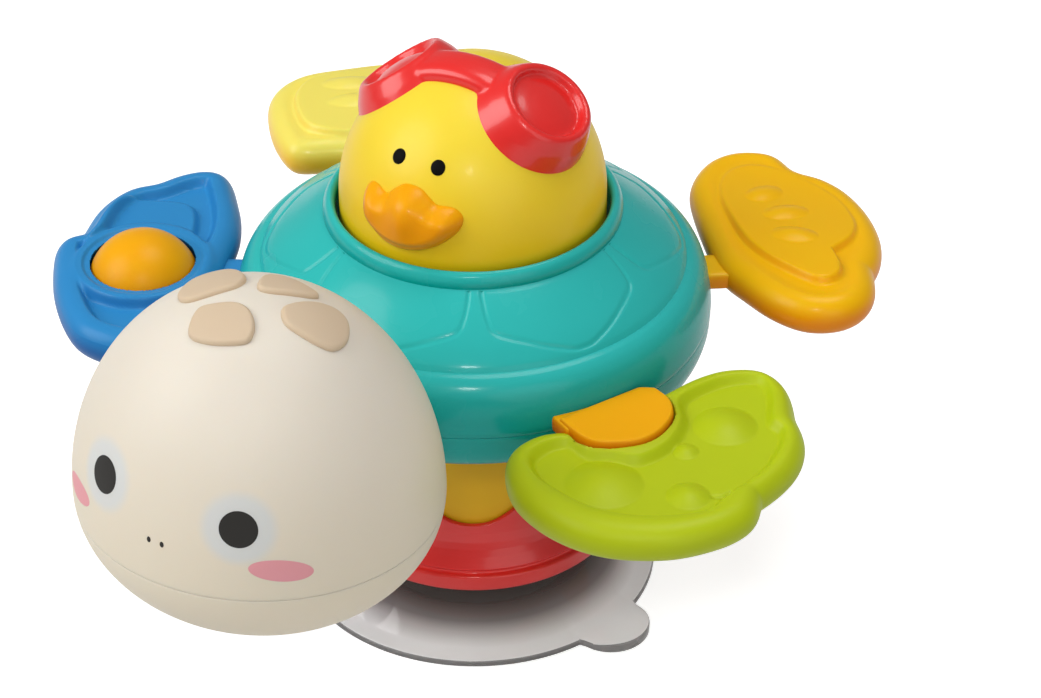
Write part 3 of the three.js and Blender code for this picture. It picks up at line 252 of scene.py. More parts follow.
def relief(outline, centre, edge, thickness, middle, top, bottom, count, steps):
    """A plate with a fully rounded edge and worked faces: top(xy, d) and bottom(xy, d) add to its heights,
    where d is the distance from the outline. It has steps rows of points round the edge and count rows from
    there to the centre."""
    centre = np.asarray(centre, float)
    rays = centre - outline
    length = np.linalg.norm(rays, axis=1)
    near = edge * 1.1 * (1 - np.cos(np.linspace(0, math.pi / 2, steps)))
    far = np.linspace(0, 0.985, count)[1:]
    depth = np.vstack([near[:, None] + 0 * length[None], near[-1] + (length[None] - near[-1]) * far[:, None]])
    rows, n = depth.shape
    xy = (outline[None] + rays[None] / length[None, :, None] * depth[..., None]).reshape(-1, 2)
    xy = np.vstack([xy, centre[None]])
    d = distance(xy, outline)
    d[:n] = 0
    rise = thickness / 2 * np.sqrt(1 - (1 - np.minimum(d / edge, 1)) ** 2)
    upper = np.column_stack([xy, middle + rise + top(xy, d)])
    lower = np.column_stack([xy, middle - rise + bottom(xy, d)])[n:]
    upper[:n, 2] = middle
    points = np.vstack([upper, lower])
    faces = []
    # The two faces share the outline's points; the other points of the lower one follow the upper's
    shift = len(upper) - n
    peak, pit = rows * n, rows * n + shift
    for k in range(rows - 1):
        for i in range(n):
            j = (i + 1) % n
            faces.append((k * n + i, k * n + j, k * n + n + j, k * n + n + i))
            low = 0 if k == 0 else shift
            faces.append((k * n + low + i, k * n + n + shift + i, k * n + n + shift + j, k * n + low + j))
    last = (rows - 1) * n
    for i in range(n):
        j = (i + 1) % n
        faces.append((last + i, last + j, peak))
        faces.append((last + shift + j, last + shift + i, pit))
    return points, faces


# Materials

def tinted(rgb, by):
    """The colour made lighter or darker by a factor, with full alpha."""
    return tuple(max(0.0, min(1.0, c * by)) for c in rgb) + (1,)


def linear(hex_code):
    """Linear red, green and blue of a six-digit colour."""
    out = []
    for k in (0, 2, 4):
        c = int(hex_code[k:k + 2], 16) / 255
        out.append(c / 12.92 if c <= 0.04045 else ((c + 0.055) / 1.055) ** 2.4)
    return tuple(out)


def feed(node, inputs):
    """Gives each input a value, or the output that feeds it."""
    for key, value in inputs.items():
        if isinstance(value, bpy.types.NodeSocket):
            node.id_data.links.new(value, node.inputs[key])
        else:
            node.inputs[key].default_value = value


def add(tree, kind, output, inputs, **settings):
    """The output of a new shader node with its settings and inputs."""
    node = tree.nodes.new("ShaderNode" + kind)
    for key, value in settings.items():
        setattr(node, key, value)
    feed(node, inputs)
    return node.outputs[output]


def blank(name):
    """A new material with its node tree and its shader."""
    m = bpy.data.materials.new(name)
    m.use_nodes = True
    return m, m.node_tree, m.node_tree.nodes["Principled BSDF"]


def blend(tree, share, first, second):
    """A mix of two colours."""
    return add(tree, "Mix", 2, {0: share, 6: first, 7: second}, data_type="RGBA")


TONE_SPREAD = 0.03


def plastic(name, hex_code, roughness=0.3, glow=0.1, warm=(1.0, 0.5, 0.25), coat=0.0, grain=0.5, side=None,
            shine=0.3):
    """Moulded plastic: a faint cloud in its colour, a fine spark-eroded grain and an uneven gloss. Its colour
    deepens to that of side where it faces sideways or down, which is painted shade."""
    rgb = linear(hex_code)
    m, tree, shader = blank(name)
    place = add(tree, "TexCoord", "Object", {})
    cloud = add(tree, "TexNoise", "Fac", {"Vector": place, "Scale": 55, "Detail": 3})
    colour = blend(tree, cloud, tinted(rgb, 1 - TONE_SPREAD), tinted(rgb, 1 + TONE_SPREAD))
    # Painted shade: faces turned sideways or down take the darker side colour
    if side:
        normal = add(tree, "NewGeometry", "Normal", {})
        height = add(tree, "SeparateXYZ", "Z", {0: normal})
        unshaded_share = add(tree, "MapRange", "Result", {"Value": height, "From Min": -0.15, "From Max": 0.85},
                     interpolation_type="SMOOTHSTEP")
        colour = blend(tree, unshaded_share, tinted(linear(side), 1), colour)
    gloss = add(tree, "MapRange", "Result", {"Value": cloud, "From Min": 0.3, "From Max": 0.7,
                                             "To Min": roughness * 0.9, "To Max": roughness * 1.12})
    fine = add(tree, "TexNoise", "Fac", {"Vector": place, "Scale": 2600, "Detail": 2})
    bump = add(tree, "Bump", "Normal", {"Height": fine, "Strength": grain, "Distance": 0.00002})
    feed(shader, {"Base Color": colour, "Roughness": gloss, "Normal": bump, "Subsurface Weight": glow,
                  "Subsurface Radius": warm, "Subsurface Scale": 0.003, "IOR": 1.49,
                  "Specular IOR Level": shine, "Coat Weight": coat, "Coat Roughness": 0.12})
    return m


# Tones of the cup by the distance from its axis: painted shadow under the skirt, pale towards the rim
CUP_TONES_PAINTED_SHADOW = [(27, "544d4a"), (31, "8f8685"), (33, "d0c9c8"), (36, "f8f5f5"), (40, "faf8f8")]


def clear_vinyl(name, clearness, shade=1.0):
    """See-through soft vinyl with a slight smoke to it; its colour is painted shadow near the axis, grows
    pale towards the rim, and shade darkens it further.
    """
    reach = CUP_TONES_PAINTED_SHADOW[-1][0]
    m, tree, shader = blank(name)
    place = add(tree, "TexCoord", "Object", {})
    level = add(tree, "VectorMath", 0, {0: place, 1: (1, 1, 0), 2: tuple(-AXIS * MM)},
                operation="MULTIPLY_ADD")
    away = add(tree, "VectorMath", "Value", {0: level}, operation="LENGTH")
    share = add(tree, "MapRange", "Result", {"Value": away, "From Max": reach * MM})
    # Painted shadow: the colour darkens towards the axis, under the skirt
    painted_shadow_tone = add(tree, "ValToRGB", "Color", {"Fac": share})
    stops = painted_shadow_tone.node.color_ramp.elements
    while len(stops) < len(CUP_TONES_PAINTED_SHADOW):
        stops.new(0.5)
    for stop, (radius, hex_code) in zip(stops, CUP_TONES_PAINTED_SHADOW):
        stop.position = radius / reach
        stop.color = tinted(linear(hex_code), shade)
    cloud = add(tree, "TexNoise", "Fac", {"Vector": place, "Scale": 30})
    wave = add(tree, "Bump", "Normal", {"Height": cloud, "Strength": 0.25, "Distance": 0.0002})
    feed(shader, {"Base Color": painted_shadow_tone, "Normal": wave, "Roughness": 0.06, "Transmission Weight": clearness,
                  "IOR": 1.4})
    return m


def metal(name, hex_code):
    """Bright zinc with an uneven gloss."""
    m, tree, shader = blank(name)
    place = add(tree, "TexCoord", "Object", {})
    streak = add(tree, "TexNoise", "Fac", {"Vector": place, "Scale": 900})
    gloss = add(tree, "MapRange", "Result", {"Value": streak, "To Min": 0.22, "To Max": 0.42})
    feed(shader, {"Base Color": tinted(linear(hex_code), 1), "Metallic": 1, "Roughness": gloss})
    return m


RED_GLOW = (1.0, 0.3, 0.05)
# Each side colour below is painted shade: these plastics as they look where they face sideways or down, away
# from the light
TEAL = plastic("teal", "30bcb8", 0.26, 0.06, (0.3, 1.0, 0.9), coat=0.25, side="009f99", shine=0.12)
CREAM = plastic("cream", "e8dfd0", 0.48, 0.2, (1.0, 0.7, 0.45), grain=0.8, side="e9ddc6")
TAN = plastic("tan", "d8c1a4", 0.5, 0.12, (1.0, 0.7, 0.45), grain=0.9)
YELLOW = plastic("yellow", "fbdd3a", 0.4, 0.2, (1.0, 0.6, 0.12), coat=0.05, side="f9ca0e")
COLUMN = plastic("column_yellow", "e8b21a", 0.4, 0.1, (1.0, 0.6, 0.12))
PALE = plastic("pale_yellow", "ffea6a", 0.34, 0.2, (1.0, 0.7, 0.2), coat=0.1, side="ffc52c")
ORANGE = plastic("orange", "ffc000", 0.34, 0.12, RED_GLOW, coat=0.05, side="f59000", shine=0.2)
BEAK = plastic("beak_orange", "f6a800", 0.32, 0.12, RED_GLOW, coat=0.05, side="ee9400", shine=0.18)
BALL = plastic("ball_orange", "f8ae08", 0.36, 0.12, RED_GLOW, side="ee8c00", shine=0.18)
CLIP = plastic("clip_orange", "fbb000", 0.42, 0.12, RED_GLOW, side="e87800", shine=0.18)
RED = plastic("red", "ee2622", 0.33, 0.0, (1.0, 0.25, 0.2), coat=0.5, side="e41c1a", shine=0.45)
BLUE = plastic("blue", "2f8ccb", 0.36, 0.05, (0.2, 0.5, 1.0), coat=0.05, side="0f5fa4", shine=0.18)
GREEN = plastic("green", "bccc0a", 0.44, 0.2, (0.7, 1.0, 0.1), grain=0.7, side="b2c200")
WHITE = plastic("white", "e9e9e6", 0.4, 0.1)
CLEAR = clear_vinyl("clear_vinyl", 0.45)
# A darker copy of the vinyl, as painted shade for the cup's outer edge
CLEAR_EDGE_PAINTED_DARK = clear_vinyl("clear_vinyl_painted_dark_edge", 0.6, 0.38)
STEEL = metal("steel", "b4b7ba")
BLACK = plastic("print_black", "030303", 0.6, 0.0, grain=0.3, shine=0.1)
EYE_BLACK = plastic("print_charcoal", "2a2825", 0.62, 0.0, grain=0.3)
PINK = plastic("print_pink", "efa0a6", 0.55, 0.1)

# The solids that no piece below replaces keep their shape and get a look
for node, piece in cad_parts.items():
    if "screw" in node or node in ("spindle", "spindle_washer", "return_spring"):
        look = STEEL
    elif node in ("base_plate", "thrust_washer", "hub_bush", "duck_chassis"):
        look = WHITE
    else:
        look = CREAM
    piece.data.materials.clear()
    piece.data.materials.append(look)


# Suction base

CUP_RIM = 39.6
CUP_BOWL = 36.8
CUP_NECK = 13.0
CUP_STEM = [(0, 19.9), (6, 19.9), (8.6, 18.5), (8.6, 17.1), (6, 17.1), (6, 14.3), (10, 14.3), (10, 11.6),
            (CUP_NECK, 11.6)]
TAB_CENTRE = 39.5
TAB_RADIUS = 8.5
TAB_DEGREES = -14
TAB_FILLET = 1.6


def suction_cup():
    """The clear cup with its stem, thin rim and pull tab."""
    share = np.linspace(0, 1, 26)
    top = [(CUP_NECK + (CUP_BOWL - CUP_NECK) * s, 1.7 + 9.9 * math.cos(s * math.pi / 2)) for s in share]
    under = [(CUP_BOWL * s, 8.6 * math.cos(s * math.pi / 2)) for s in share[::-1]]
    rim = rounded([(CUP_BOWL, 1.7), (CUP_RIM, 1.5), (CUP_RIM, 0.0), (CUP_BOWL, 0.0)], [0, 0.7, 0.3, 0], 5)
    stem = rounded(CUP_STEM, [0, 0.5, 0.6, 0.4, 0.3, 0.3, 0.6, 0.3, 0], 3)
    points, faces = lathe(np.vstack([stem[:-1], top, rim[1:-1], under]), 360)
    # The rim runs out into the pull tab, which is raised a little
    angle = np.degrees(np.arctan2(points[:, 1], points[:, 0])) - TAB_DEGREES
    angle = (angle + 180) % 360 - 180
    radius = np.hypot(points[:, 0], points[:, 1])
    grown = radius + (tab_reach(angle) - CUP_RIM) * smooth(radius, 35.5, 39.0)
    points[:, :2] *= np.where(radius > 1e-6, grown / np.maximum(radius, 1e-6), 1)[:, None]
    points[:, 2] += 0.9 * smooth(grown, 41, 47) * (points[:, 2] > 0.2)
    cup = made("cup", points, faces, CLEAR, "base", "clear_cup", ["suction_cup"], 50)
    # The outer edge is painted darker: painted shade on its upright faces, from a darker copy of the vinyl
    cup.data.materials.append(CLEAR_EDGE_PAINTED_DARK)
    for face in cup.data.polygons:
        out = math.hypot(face.center.x - AXIS[0] * MM, face.center.y - AXIS[1] * MM)
        if out > 38.8 * MM and abs(face.normal.z) < 0.75:
            face.material_index = 1


def tab_reach(angle):
    """Outer radius of the cup's rim by the angle from the middle of the pull tab."""
    a = np.radians(np.abs(angle))
    half = TAB_CENTRE * np.sin(a)
    root = np.sqrt(np.maximum(TAB_RADIUS ** 2 - half ** 2, 0))
    tab = np.where(half < TAB_RADIUS, TAB_CENTRE * np.cos(a) + root, 0)
    # A soft fillet between the lobe and the round rim
    h = np.clip(0.5 + 0.5 * (tab - CUP_RIM) / TAB_FILLET, 0, 1)
    return np.maximum(CUP_RIM, CUP_RIM * (1 - h) + tab * h + TAB_FILLET * h * (1 - h) * 0.25)


def column_radius(z):
    """Radius of the yellow column, which narrows upwards."""
    return COLUMN_FOOT_RADIUS - COLUMN_TAPER * (z - COLUMN_BOTTOM) / (COLUMN_TOP - COLUMN_BOTTOM)


SKIRT_WALL = 1.3
SKIRT_GAP = 0.25
SKIRT_RADIUS = 32.2
SKIRT_INSIDE = 28.3
SKIRT_RADII = [0, 1.1, 1.0, 0.3, 0.3, 0.5, 0.1, 0.1, 0.1, 0.1, 0.1, 0.1, 0.55, 0.1, 0, 0]


def skirt_section(turn):
    """The skirt cut upright: a foot ring, a flare and a thin wall up to the wavy edge."""
    edge = SKIRT_BOTTOM + 14.4 + 4.9 * (0.5 - 0.5 * math.cos(6 * (turn + math.radians(2.5)))) ** 1.3
    foot = [(SKIRT_INSIDE, SKIRT_BOTTOM), (SKIRT_RADIUS, SKIRT_BOTTOM), (SKIRT_RADIUS, 18.4), (31.0, 18.7),
            (30.9, 19.3)]
    flare = [(column_radius(z) + SKIRT_WALL + 2.5 * ((29 - z) / 9.5) ** 2, z)
             for z in (19.6, 20.8, 22, 23.5, 25, 27, 28.8)]
    lip = [(column_radius(edge) + SKIRT_WALL, edge), (column_radius(edge) + SKIRT_GAP, edge)]
    back = [(column_radius(17.4) + SKIRT_GAP, 17.4), (SKIRT_INSIDE, 17.2)]
    return rounded(foot + flare + lip + back, SKIRT_RADII, 5)


def base_parts():
    """The red skirt with its wavy edge, and the yellow column."""
    turns = 288
    rows = []
    for turn in np.arange(turns) * 2 * math.pi / turns:
        r, z = skirt_section(turn).T
        rows.append(np.column_stack([r * math.cos(turn), r * math.sin(turn), z]))
    n = len(rows[0])
    starts = [(i * n, (i + 1) % turns * n) for i in range(turns)]
    faces = [(a + k, b + k, b + (k + 1) % n, a + (k + 1) % n) for a, b in starts for k in range(n)]
    made("skirt", np.vstack(rows), faces, RED, "base", "red_plastic", ["base_skirt"], 45)
    side = rounded([(0, COLUMN_TOP), (21, COLUMN_TOP), (23.6, 58.9), (COLUMN_FOOT_RADIUS, COLUMN_BOTTOM),
                    (25.4, COLUMN_BOTTOM), (21.4, 58), (0, 59.3)], [0, 1.6, 1.4, 0.2, 0.2, 1, 0], 6)
    made("column", *lathe(side), COLUMN, "base", "yellow_plastic", ["base_column"], 45)


# Turtle shell

FLANK = [(44.2, 58.8), (46.6, 59.5), (48.6, 61.3), (49.7, 64.3), (49.97, 67.4)]
UNDER_WALL = [(49.9, 68.12), (47.5, 68.14), (47.5, 69.8), (46, 69.8), (46, 62.2), (43.1, 59.7),
              (27.8, 59.7), (27.8, 65.3), (9, 65.3), (9, 81.4), (5.4, 81.4), (5.4, 63.1), (25.6, 63.1)]
RIM = [(49.92, 68.28), (SHELL_RADIUS, 68.8), (SHELL_RADIUS, 69.8), (49.6, 73.2), (48.6, 76.6), (47.4, 78.6),
       (46.1, 79.8), (45.1, 80.25), (44.6, 80.35)]
CREST = [(44.6, 80.35), (44.3, 80.8), (43.7, 81.6), (42.6, 82.7), (40.8, 84.3), (37.8, 86.6), (34.6, 88.95),
         (32.4, 90.45), (31.5, 91), (31.1, 91.25)]
LIP = [(31.1, 91.25), (31.15, 92), (30.95, 92.9), (30.4, 93.9), (29.6, 94.45), (28.95, 94.15),
       (28.6, 93.4), (HOLE_RADIUS, 92.6)]
TOP_WALL = [(HOLE_RADIUS, 83.7), (30.5, 83.7), (30.5, 87.6), (42.6, 80.0), (46.6, 76), (47.8, 71),
            (47.8, 68.28)]


def shell_parts():
    """The shell's lower half with its hub and its upper half with the hole for the duck."""
    low = np.vstack([[(25.6, SHELL_FLOOR), (30, SHELL_FLOOR)], spline(FLANK), UNDER_WALL])
    made("shell_under", *lathe(low, 256), TEAL, "turtle", "teal_plastic", ["shell_lower"], 45)
    high = np.vstack([spline(RIM, 7)[:-1], spline(CREST, 10)[:-1], spline(LIP, 7), TOP_WALL])
    points, faces = lathe(high, 840)
    on_crest = (points[:, 2] > 80.4) & (np.hypot(points[:, 0], points[:, 1]) > 31.3)
    points[:, 2] -= scute_depth(points[:, :2]) * on_crest
    made("shell_top", points, faces, TEAL, "turtle", "teal_plastic", ["shell_upper"], 42)


# Half the edge of one of the shell's plates, as degrees from its middle line and distance from the axis
SCUTE = [(27.7, 30.6), (27.6, 32.5), (26.9, 35), (26, 37), (25.2, 38.1), (23.7, 38.9), (21.2, 39.5),
         (18, 40.2), (11, 41.8), (4, 43.2)]
LINE_DEPTH = 0.34
LINE_WIDTH = 0.38


def scute_depth(xy):
    """Depth of the moulded lines that mark out the six plates of the shell."""
    angle = np.degrees(np.arctan2(xy[:, 1], xy[:, 0]))
    radius = np.hypot(xy[:, 0], xy[:, 1])
    # Each plate in its own frame
    turn = np.radians((angle + 60.5) % 60.0 - 30.0)
    shares = [(math.radians(a), r) for a, r in SCUTE + [(0.0, 43.5)] + [(-a, r) for a, r in SCUTE[::-1]]]
    plate = spline([(r * math.sin(a), r * math.cos(a)) for a, r in shares], 10)
    d = distance(np.column_stack([radius * np.sin(turn), radius * np.cos(turn)]), plate, False)
    return LINE_DEPTH * np.exp(-(d / LINE_WIDTH) ** 2)


# Head

def on_head(direction, proud=0.0):
    """Points on the head's surface in the given directions from its centre, raised by a distance."""
    d = np.asarray(direction, float)
    tall = np.where(d[:, 2] >= 0, HEAD_CROWN, HEAD_CHIN)
    radii = np.column_stack([np.full((len(d), 2), HEAD_RADII), tall])
    p = d / np.sqrt(((d / radii) ** 2).sum(1))[:, None]
    normal = p / radii ** 2
    normal /= np.linalg.norm(normal, axis=1)[:, None]
    return HEAD + p + normal * np.asarray(proud)[..., None]


SEAM_HALF = 0.035
SEAM_INSET = 0.008


def head_parts():
    """The two halves of the head, as profiles whose radius is a share of the head's and then stretched."""
    seam = HEAD_SEAM - HEAD[2]
    start = math.asin(seam / HEAD_CHIN)
    up = arc(1, HEAD_CHIN, start, 0, 6)[:-1] + arc(1, HEAD_CROWN, 0, math.pi / 2, 72)[:-1]
    down = arc(1, HEAD_CHIN, start, -math.pi / 2, 64)[1:-1]
    wide = up[0][0]
    upper = [(0, seam + SEAM_HALF), (wide - SEAM_INSET, seam + SEAM_HALF), (wide - 0.003, seam + 0.05),
             (wide, seam + 0.3)] + up[1:] + [(0, HEAD_CROWN)]
    lower = [(0, seam - SEAM_HALF), (wide - SEAM_INSET, seam - SEAM_HALF), (wide - 0.003, seam - 0.05),
             (wide - 0.0008, seam - 0.3)] + [q for q in down if q[1] < seam - 0.5] + [(0, -HEAD_CHIN)]
    for name, profile, node in (("head_top", upper, "head_upper"), ("head_chin", lower, "head_lower")):
        points, faces = lathe(profile, 256)
        points[:, :2] *= HEAD_RADII
        made(name, points + HEAD, faces, FACE, "turtle", "cream_plastic", [node], 50)


PRINT_ROOT = -0.25
PRINT_BEVEL = 0.05


def patch(name, centre, half, turn, material, proud=0.07):
    """A thin printed oval that follows the head: centre is a point of its surface, half its two half
    sizes."""
    c = np.array(centre, float)
    tall = HEAD_CROWN if c[2] >= 0 else HEAD_CHIN
    normal, side, rise = tangents(c / np.array([*HEAD_RADII, tall]) ** 2)
    a = math.radians(turn)
    u, v = side * math.cos(a) + rise * math.sin(a), rise * math.cos(a) - side * math.sin(a)
    n, rings = 72, 9
    turns = np.arange(n) * 2 * math.pi / n
    oval = [np.zeros((1, 2))]
    for k in range(1, rings + 1):
        oval.append(np.column_stack([np.cos(turns) * half[0], np.sin(turns) * half[1]]) * k / rings)
    oval = np.vstack(oval)
    spots = c + oval[:, :1] * u + oval[:, 1:] * v
    edge = np.arange(len(oval)) >= len(oval) - n
    top = on_head(spots, np.where(edge, proud - PRINT_BEVEL, proud))
    low = on_head(spots, PRINT_ROOT)
    points = np.vstack([top, low])
    shift = len(top)
    last = 1 + (rings - 1) * n
    faces = [(0, 1 + i, 1 + (i + 1) % n) for i in range(n)]
    faces += [(a + i, a + n + i, a + n + (i + 1) % n, a + (i + 1) % n)
              for a in range(1, last, n) for i in range(n)]
    faces += [tuple(shift + q for q in reversed(f)) for f in faces]
    faces += [(last + i, last + shift + i, last + shift + (i + 1) % n, last + (i + 1) % n) for i in range(n)]
    made(name, points, faces, material, "turtle", "cream_plastic")


# Outlines of the raised spots, seen from above, in shares of the head's longer radius
SPOTS = {
    "right": [(0.02, -0.413), (-0.12, -0.43), (-0.225, -0.385), (-0.28, -0.3), (-0.238, -0.196),
              (-0.151, -0.113), (-0.061, -0.107), (0.016, -0.165), (0.084, -0.244), (0.109, -0.31),
              (0.085, -0.37)],
    "rear": [(-0.096, -0.011), (-0.205, -0.06), (-0.277, -0.036), (-0.31, 0.053), (-0.301, 0.16),
             (-0.28, 0.235), (-0.232, 0.235), (-0.16, 0.164), (-0.09, 0.06)],
    "front": [(0.325, -0.156), (0.234, -0.195), (0.156, -0.193), (0.113, -0.131), (0.074, -0.035),
              (0.082, 0.043), (0.14, 0.118), (0.212, 0.158), (0.277, 0.15), (0.335, 0.036), (0.35, -0.077)],
    "left": [(-0.008, 0.185), (-0.094, 0.206), (-0.197, 0.272), (-0.248, 0.356), (-0.225, 0.435),
             (-0.139, 0.495), (-0.053, 0.515), (0.024, 0.496), (0.062, 0.43), (0.079, 0.334), (0.067, 0.245)],
}


def head_spots():
    """The four raised spots on the crown."""
    for name, shares in SPOTS.items():
        outline = even(spline([(b * HEAD_RADII[0], -a * HEAD_RADII[0]) for a, b in shares], 12, True), 120)
        points, faces = relief(outline, outline.mean(0), 0.8, 2.4, 0, flat, flat, 14, 8)
        # The flat patch is laid over the crown: its height becomes the distance from the head's surface
        x, y = (points[:, :2] / HEAD_RADII).T
        crown = HEAD_CROWN * np.sqrt(np.maximum(1 - x ** 2 - y ** 2, 0))
        laid = on_head(np.column_stack([points[:, :2], crown]), points[:, 2] * 0.75 + 0.1)
        made("spot_" + name, laid, faces, TAN, "turtle", "tan_plastic", ["head_spot_" + name])


EYES = [(14.37, -29.25, 13.49), (-15.21, -28.40, 14.94)]
CHEEKS = [(21.68, -26.96, 5.07), (-24.3, -24.8, 6)]
NOSTRILS = [(-2.79, -33.31, 7.76), (0.11, -33.43, 7.67)]
HALO_EDGE = 8.2
HALO_FULL = 5.4


def face_material():
    """The cream of the head with a soft pale ring printed round each eye."""
    m = CREAM.copy()
    m.name = "cream_face"
    tree = m.node_tree
    shader = tree.nodes["Principled BSDF"]
    place = add(tree, "TexCoord", "Object", {})
    ground = shader.inputs["Base Color"].links[0].from_socket
    for centre in EYES:
        eye = tuple((HEAD + np.array(centre) + AXIS) * MM)
        far = add(tree, "VectorMath", "Value", {0: place, 1: eye}, operation="DISTANCE")
        fade = add(tree, "MapRange", "Result", {"Value": far, "From Min": HALO_EDGE * MM,
                                                "From Max": HALO_FULL * MM}, interpolation_type="SMOOTHSTEP")
        ground = blend(tree, fade, ground, tinted(linear("dcdcd8"), 1))
    feed(shader, {"Base Color": ground})
    return m


FACE = face_material()


def face_prints():
    """The turtle's eyes, cheeks and nostrils."""
    for i, centre in enumerate(EYES):
        patch(f"eye_{i + 1}", centre, (3.65, 3.65), 0, EYE_BLACK)
    for i, centre in enumerate(CHEEKS):
        patch(f"cheek_{i + 1}", centre, (6.1, 2.3), (-8, 8)[i], PINK, 0.05)
    for i, centre in enumerate(NOSTRILS):
        patch(f"nostril_{i + 1}", centre, (0.45, 0.62), 0, EYE_BLACK, 0.04)


# Flippers

ARM_START = 39
ARM_HALF = 1.8
PLATE = 9.0
PLATE_EDGE = 4.3


def arm_bar(name, degrees, drop, end, material, slot, sides=(-4.2, 4.2)):
    """The visible stretch of an arm between the shell and its flipper."""
    corners = [(ARM_START, 0), (ARM_START, sides[0]), (end, sides[0]), (end, sides[1]), (ARM_START, sides[1]),
               (ARM_START, 0)]
    outline = even(rounded(corners, [0, 0.6, 0.6, 0.6, 0.6, 0], 4)[:-1], 96)
    centre = ((ARM_START + end) / 2, 0)
    points, faces = relief(outline, centre, 0.5, 2 * ARM_HALF, ARM_HEIGHT - drop, flat, flat, 4, 6)
    made(name, turned(points, degrees), faces, material, "turtle", slot)


def from_shell(points, side=1):
    """Points given from the shell's edge, as distances from the axis; side is -1 on the turtle's right."""
    return [(q[0] + SHELL_RADIUS, q[1] * side) + tuple(q[2:]) for q in points]


# Outlines, raised plates and bumps of the flippers, with X away from the shell's edge and Y across
REAR_ROOT = [(3.4, -4.5), (2.1, -2.2), (1, 2.7), (0, 9.8), (-1, 20), (-1.3, 28.2), (-0.9, 31), (0.1, 34),
             (1.4, 36.6), (3.4, 39.5), (6.2, 41.7), (9.5, 43.1), (13.2, 43.3), (16.5, 42.7), (19.4, 41.4),
             (21.1, 39), (21.9, 37.2)]
REAR_FLANK = [(23.8, 33.4), (26.1, 32.4), (28.4, 31.1), (30.4, 29), (32.3, 26.6)]
REAR = [(34.1, -5.3, 1), (33.8, -10), (33.4, -12.1), (32.9, -13.8), (31.2, -16.7), (29.4, -18.5),
        (26.6, -20.2), (23.4, -21), (19.9, -20.9), (16.5, -20), (13.5, -17.9), (10.7, -15.3), (8.1, -11.9),
        (5.5, -7.7)]
REAR += REAR_ROOT + [(22.5, 34.8, 2)] + REAR_FLANK
REAR += [(34, 23.5), (35.5, 19.7), (36.7, 15.4), (37.4, 10.8), (37.6, 7.1), (37.3, 3.7), (36.6, 0.2),
         (35.8, -2)]
REAR_RIGHT_END = [(34.6, 22), (36.8, 17), (38, 13), (39, 7.4), (39.8, 1.7), (40.4, -3.8), (39.5, -8.2),
                  (37.4, -12.2), (34.5, -15.1), (31.8, -16.6), (26.3, -18.4), (19.6, -19.8), (13.8, -20.1),
                  (9.1, -19.4), (7, -15), (5.5, -9.5)]
REAR_RIGHT = [(22.5, 34.8, 1)] + REAR_FLANK + REAR_RIGHT_END + REAR_ROOT
PLATEAU = [(4.8, 23.6), (5.8, 13.1), (8, 4), (11.7, -2.7), (15.9, -7.5), (20.1, -11.8), (23.2, -12.6),
           (26.5, -9.9), (26.7, -5.9), (25.8, -1.2, 1), (30.3, 3.3), (32.3, 8.5), (31.6, 14.6), (29.5, 21),
           (25, 27), (19.5, 32.5), (12.5, 35.5), (7, 32)]
BUMPS = [((10.3, 20.4), (18, 24.4)), ((12.9, 12.9), (22.7, 14.9)), ((13.6, 5.6), (23.2, 3.4))]
PLATEAU_RIGHT = [(34.3, -4), (32.4, -8), (29.4, -10.5), (25, -12.3), (20.8, -13.1), (14.6, -13.3),
                 (11, -9.9), (8.1, -5.7), (6, 3), (5.4, 13.1), (4.8, 23.6), (7, 32), (12.5, 35.5),
                 (19.5, 32.5), (25, 27), (29.5, 21), (32.5, 14), (34.5, 6)]
BUMPS_RIGHT = [((29.5, -4), (26.5, 9)), ((21.5, -5.5), (18.5, 8))]


def rear_flipper(name, node, degrees, side, edge, raised, bumps, material, slot):
    """A flat flipper with a raised plate that fades towards the tip, and long bumps on it."""
    outline = creased(from_shell(edge, side), 300)
    plateau = creased(from_shell(raised, side), 200)

    def face(xy, d):
        step = smooth(depth_in(xy, plateau), -0.75, 0.6)
        fade = 1 - smooth((xy[:, 0] - SHELL_RADIUS) * 0.55 + xy[:, 1] * side, 10, 40)
        h = 1.45 * step * fade - 0.35 * smooth(d, 3.4, 6.5) * (1 - step)
        for ends in bumps:
            a, b = np.array(from_shell(ends, side))
            length = np.linalg.norm(b - a)
            along = (b - a) / length
            across = np.array([-along[1], along[0]])
            q = xy - (a + b) / 2
            r = np.sqrt((q @ along / (length / 2 + 0.2)) ** 2 + (q @ across / 3.2) ** 2)
            h += np.clip(1 - r ** 2, 0, 1) ** 1.15
        return h

    def under(xy, d):
        return 0.6 * smooth(d, 4, 7)

    centre = (SHELL_RADIUS + 17.5, 9 * side)
    points, faces = relief(outline, centre, PLATE_EDGE, PLATE, ARM_HEIGHT, face, under, 64, 14)
    made(name, turned(points, degrees), faces, material, "turtle", slot, [node])
    arm_bar(name + "_arm", degrees, 0, 56, material, slot)


BLUE_EDGE = [(34.6, 10.8, 1), (34.1, 13.3), (33, 19.1), (30.9, 23.9), (28.1, 27.9), (25.2, 30.2),
             (22.3, 31), (21, 31, 2), (19.4, 33.2), (16.5, 35.2), (13.4, 36.8), (10, 37.4), (7, 36.7),
             (5.3, 35.3), (3.9, 31.9), (2.5, 26.2), (1.2, 20.2), (0.7, 12), (2, 3), (3, -5), (5.4, -13),
             (8.4, -22), (13, -29), (20, -31), (25.6, -29.3), (30.3, -26.1), (33, -21.8), (35.6, -15.6),
             (37.7, -8.4), (38.9, -0.8), (39.4, 4.9), (39, 7.3), (37.7, 9.5)]
BLUE_PLATEAU = [(31.2, 10.9), (30.3, 15.9), (28.1, 21), (24.1, 23.9), (20.3, 23.5), (14, 23.2),
                (10.9, 20.3), (10, 10.8), (12, -2), (16, -12), (21.6, -16.5), (27.4, -13.4), (29.7, -10.4),
                (32.3, -6.9), (33.4, -1.2), (32.8, 5)]


BALL_PLACE = np.array([69.5, 1.7])
SOCKET_RADIUS = 12.25
SOCKET_CUT = 11.0


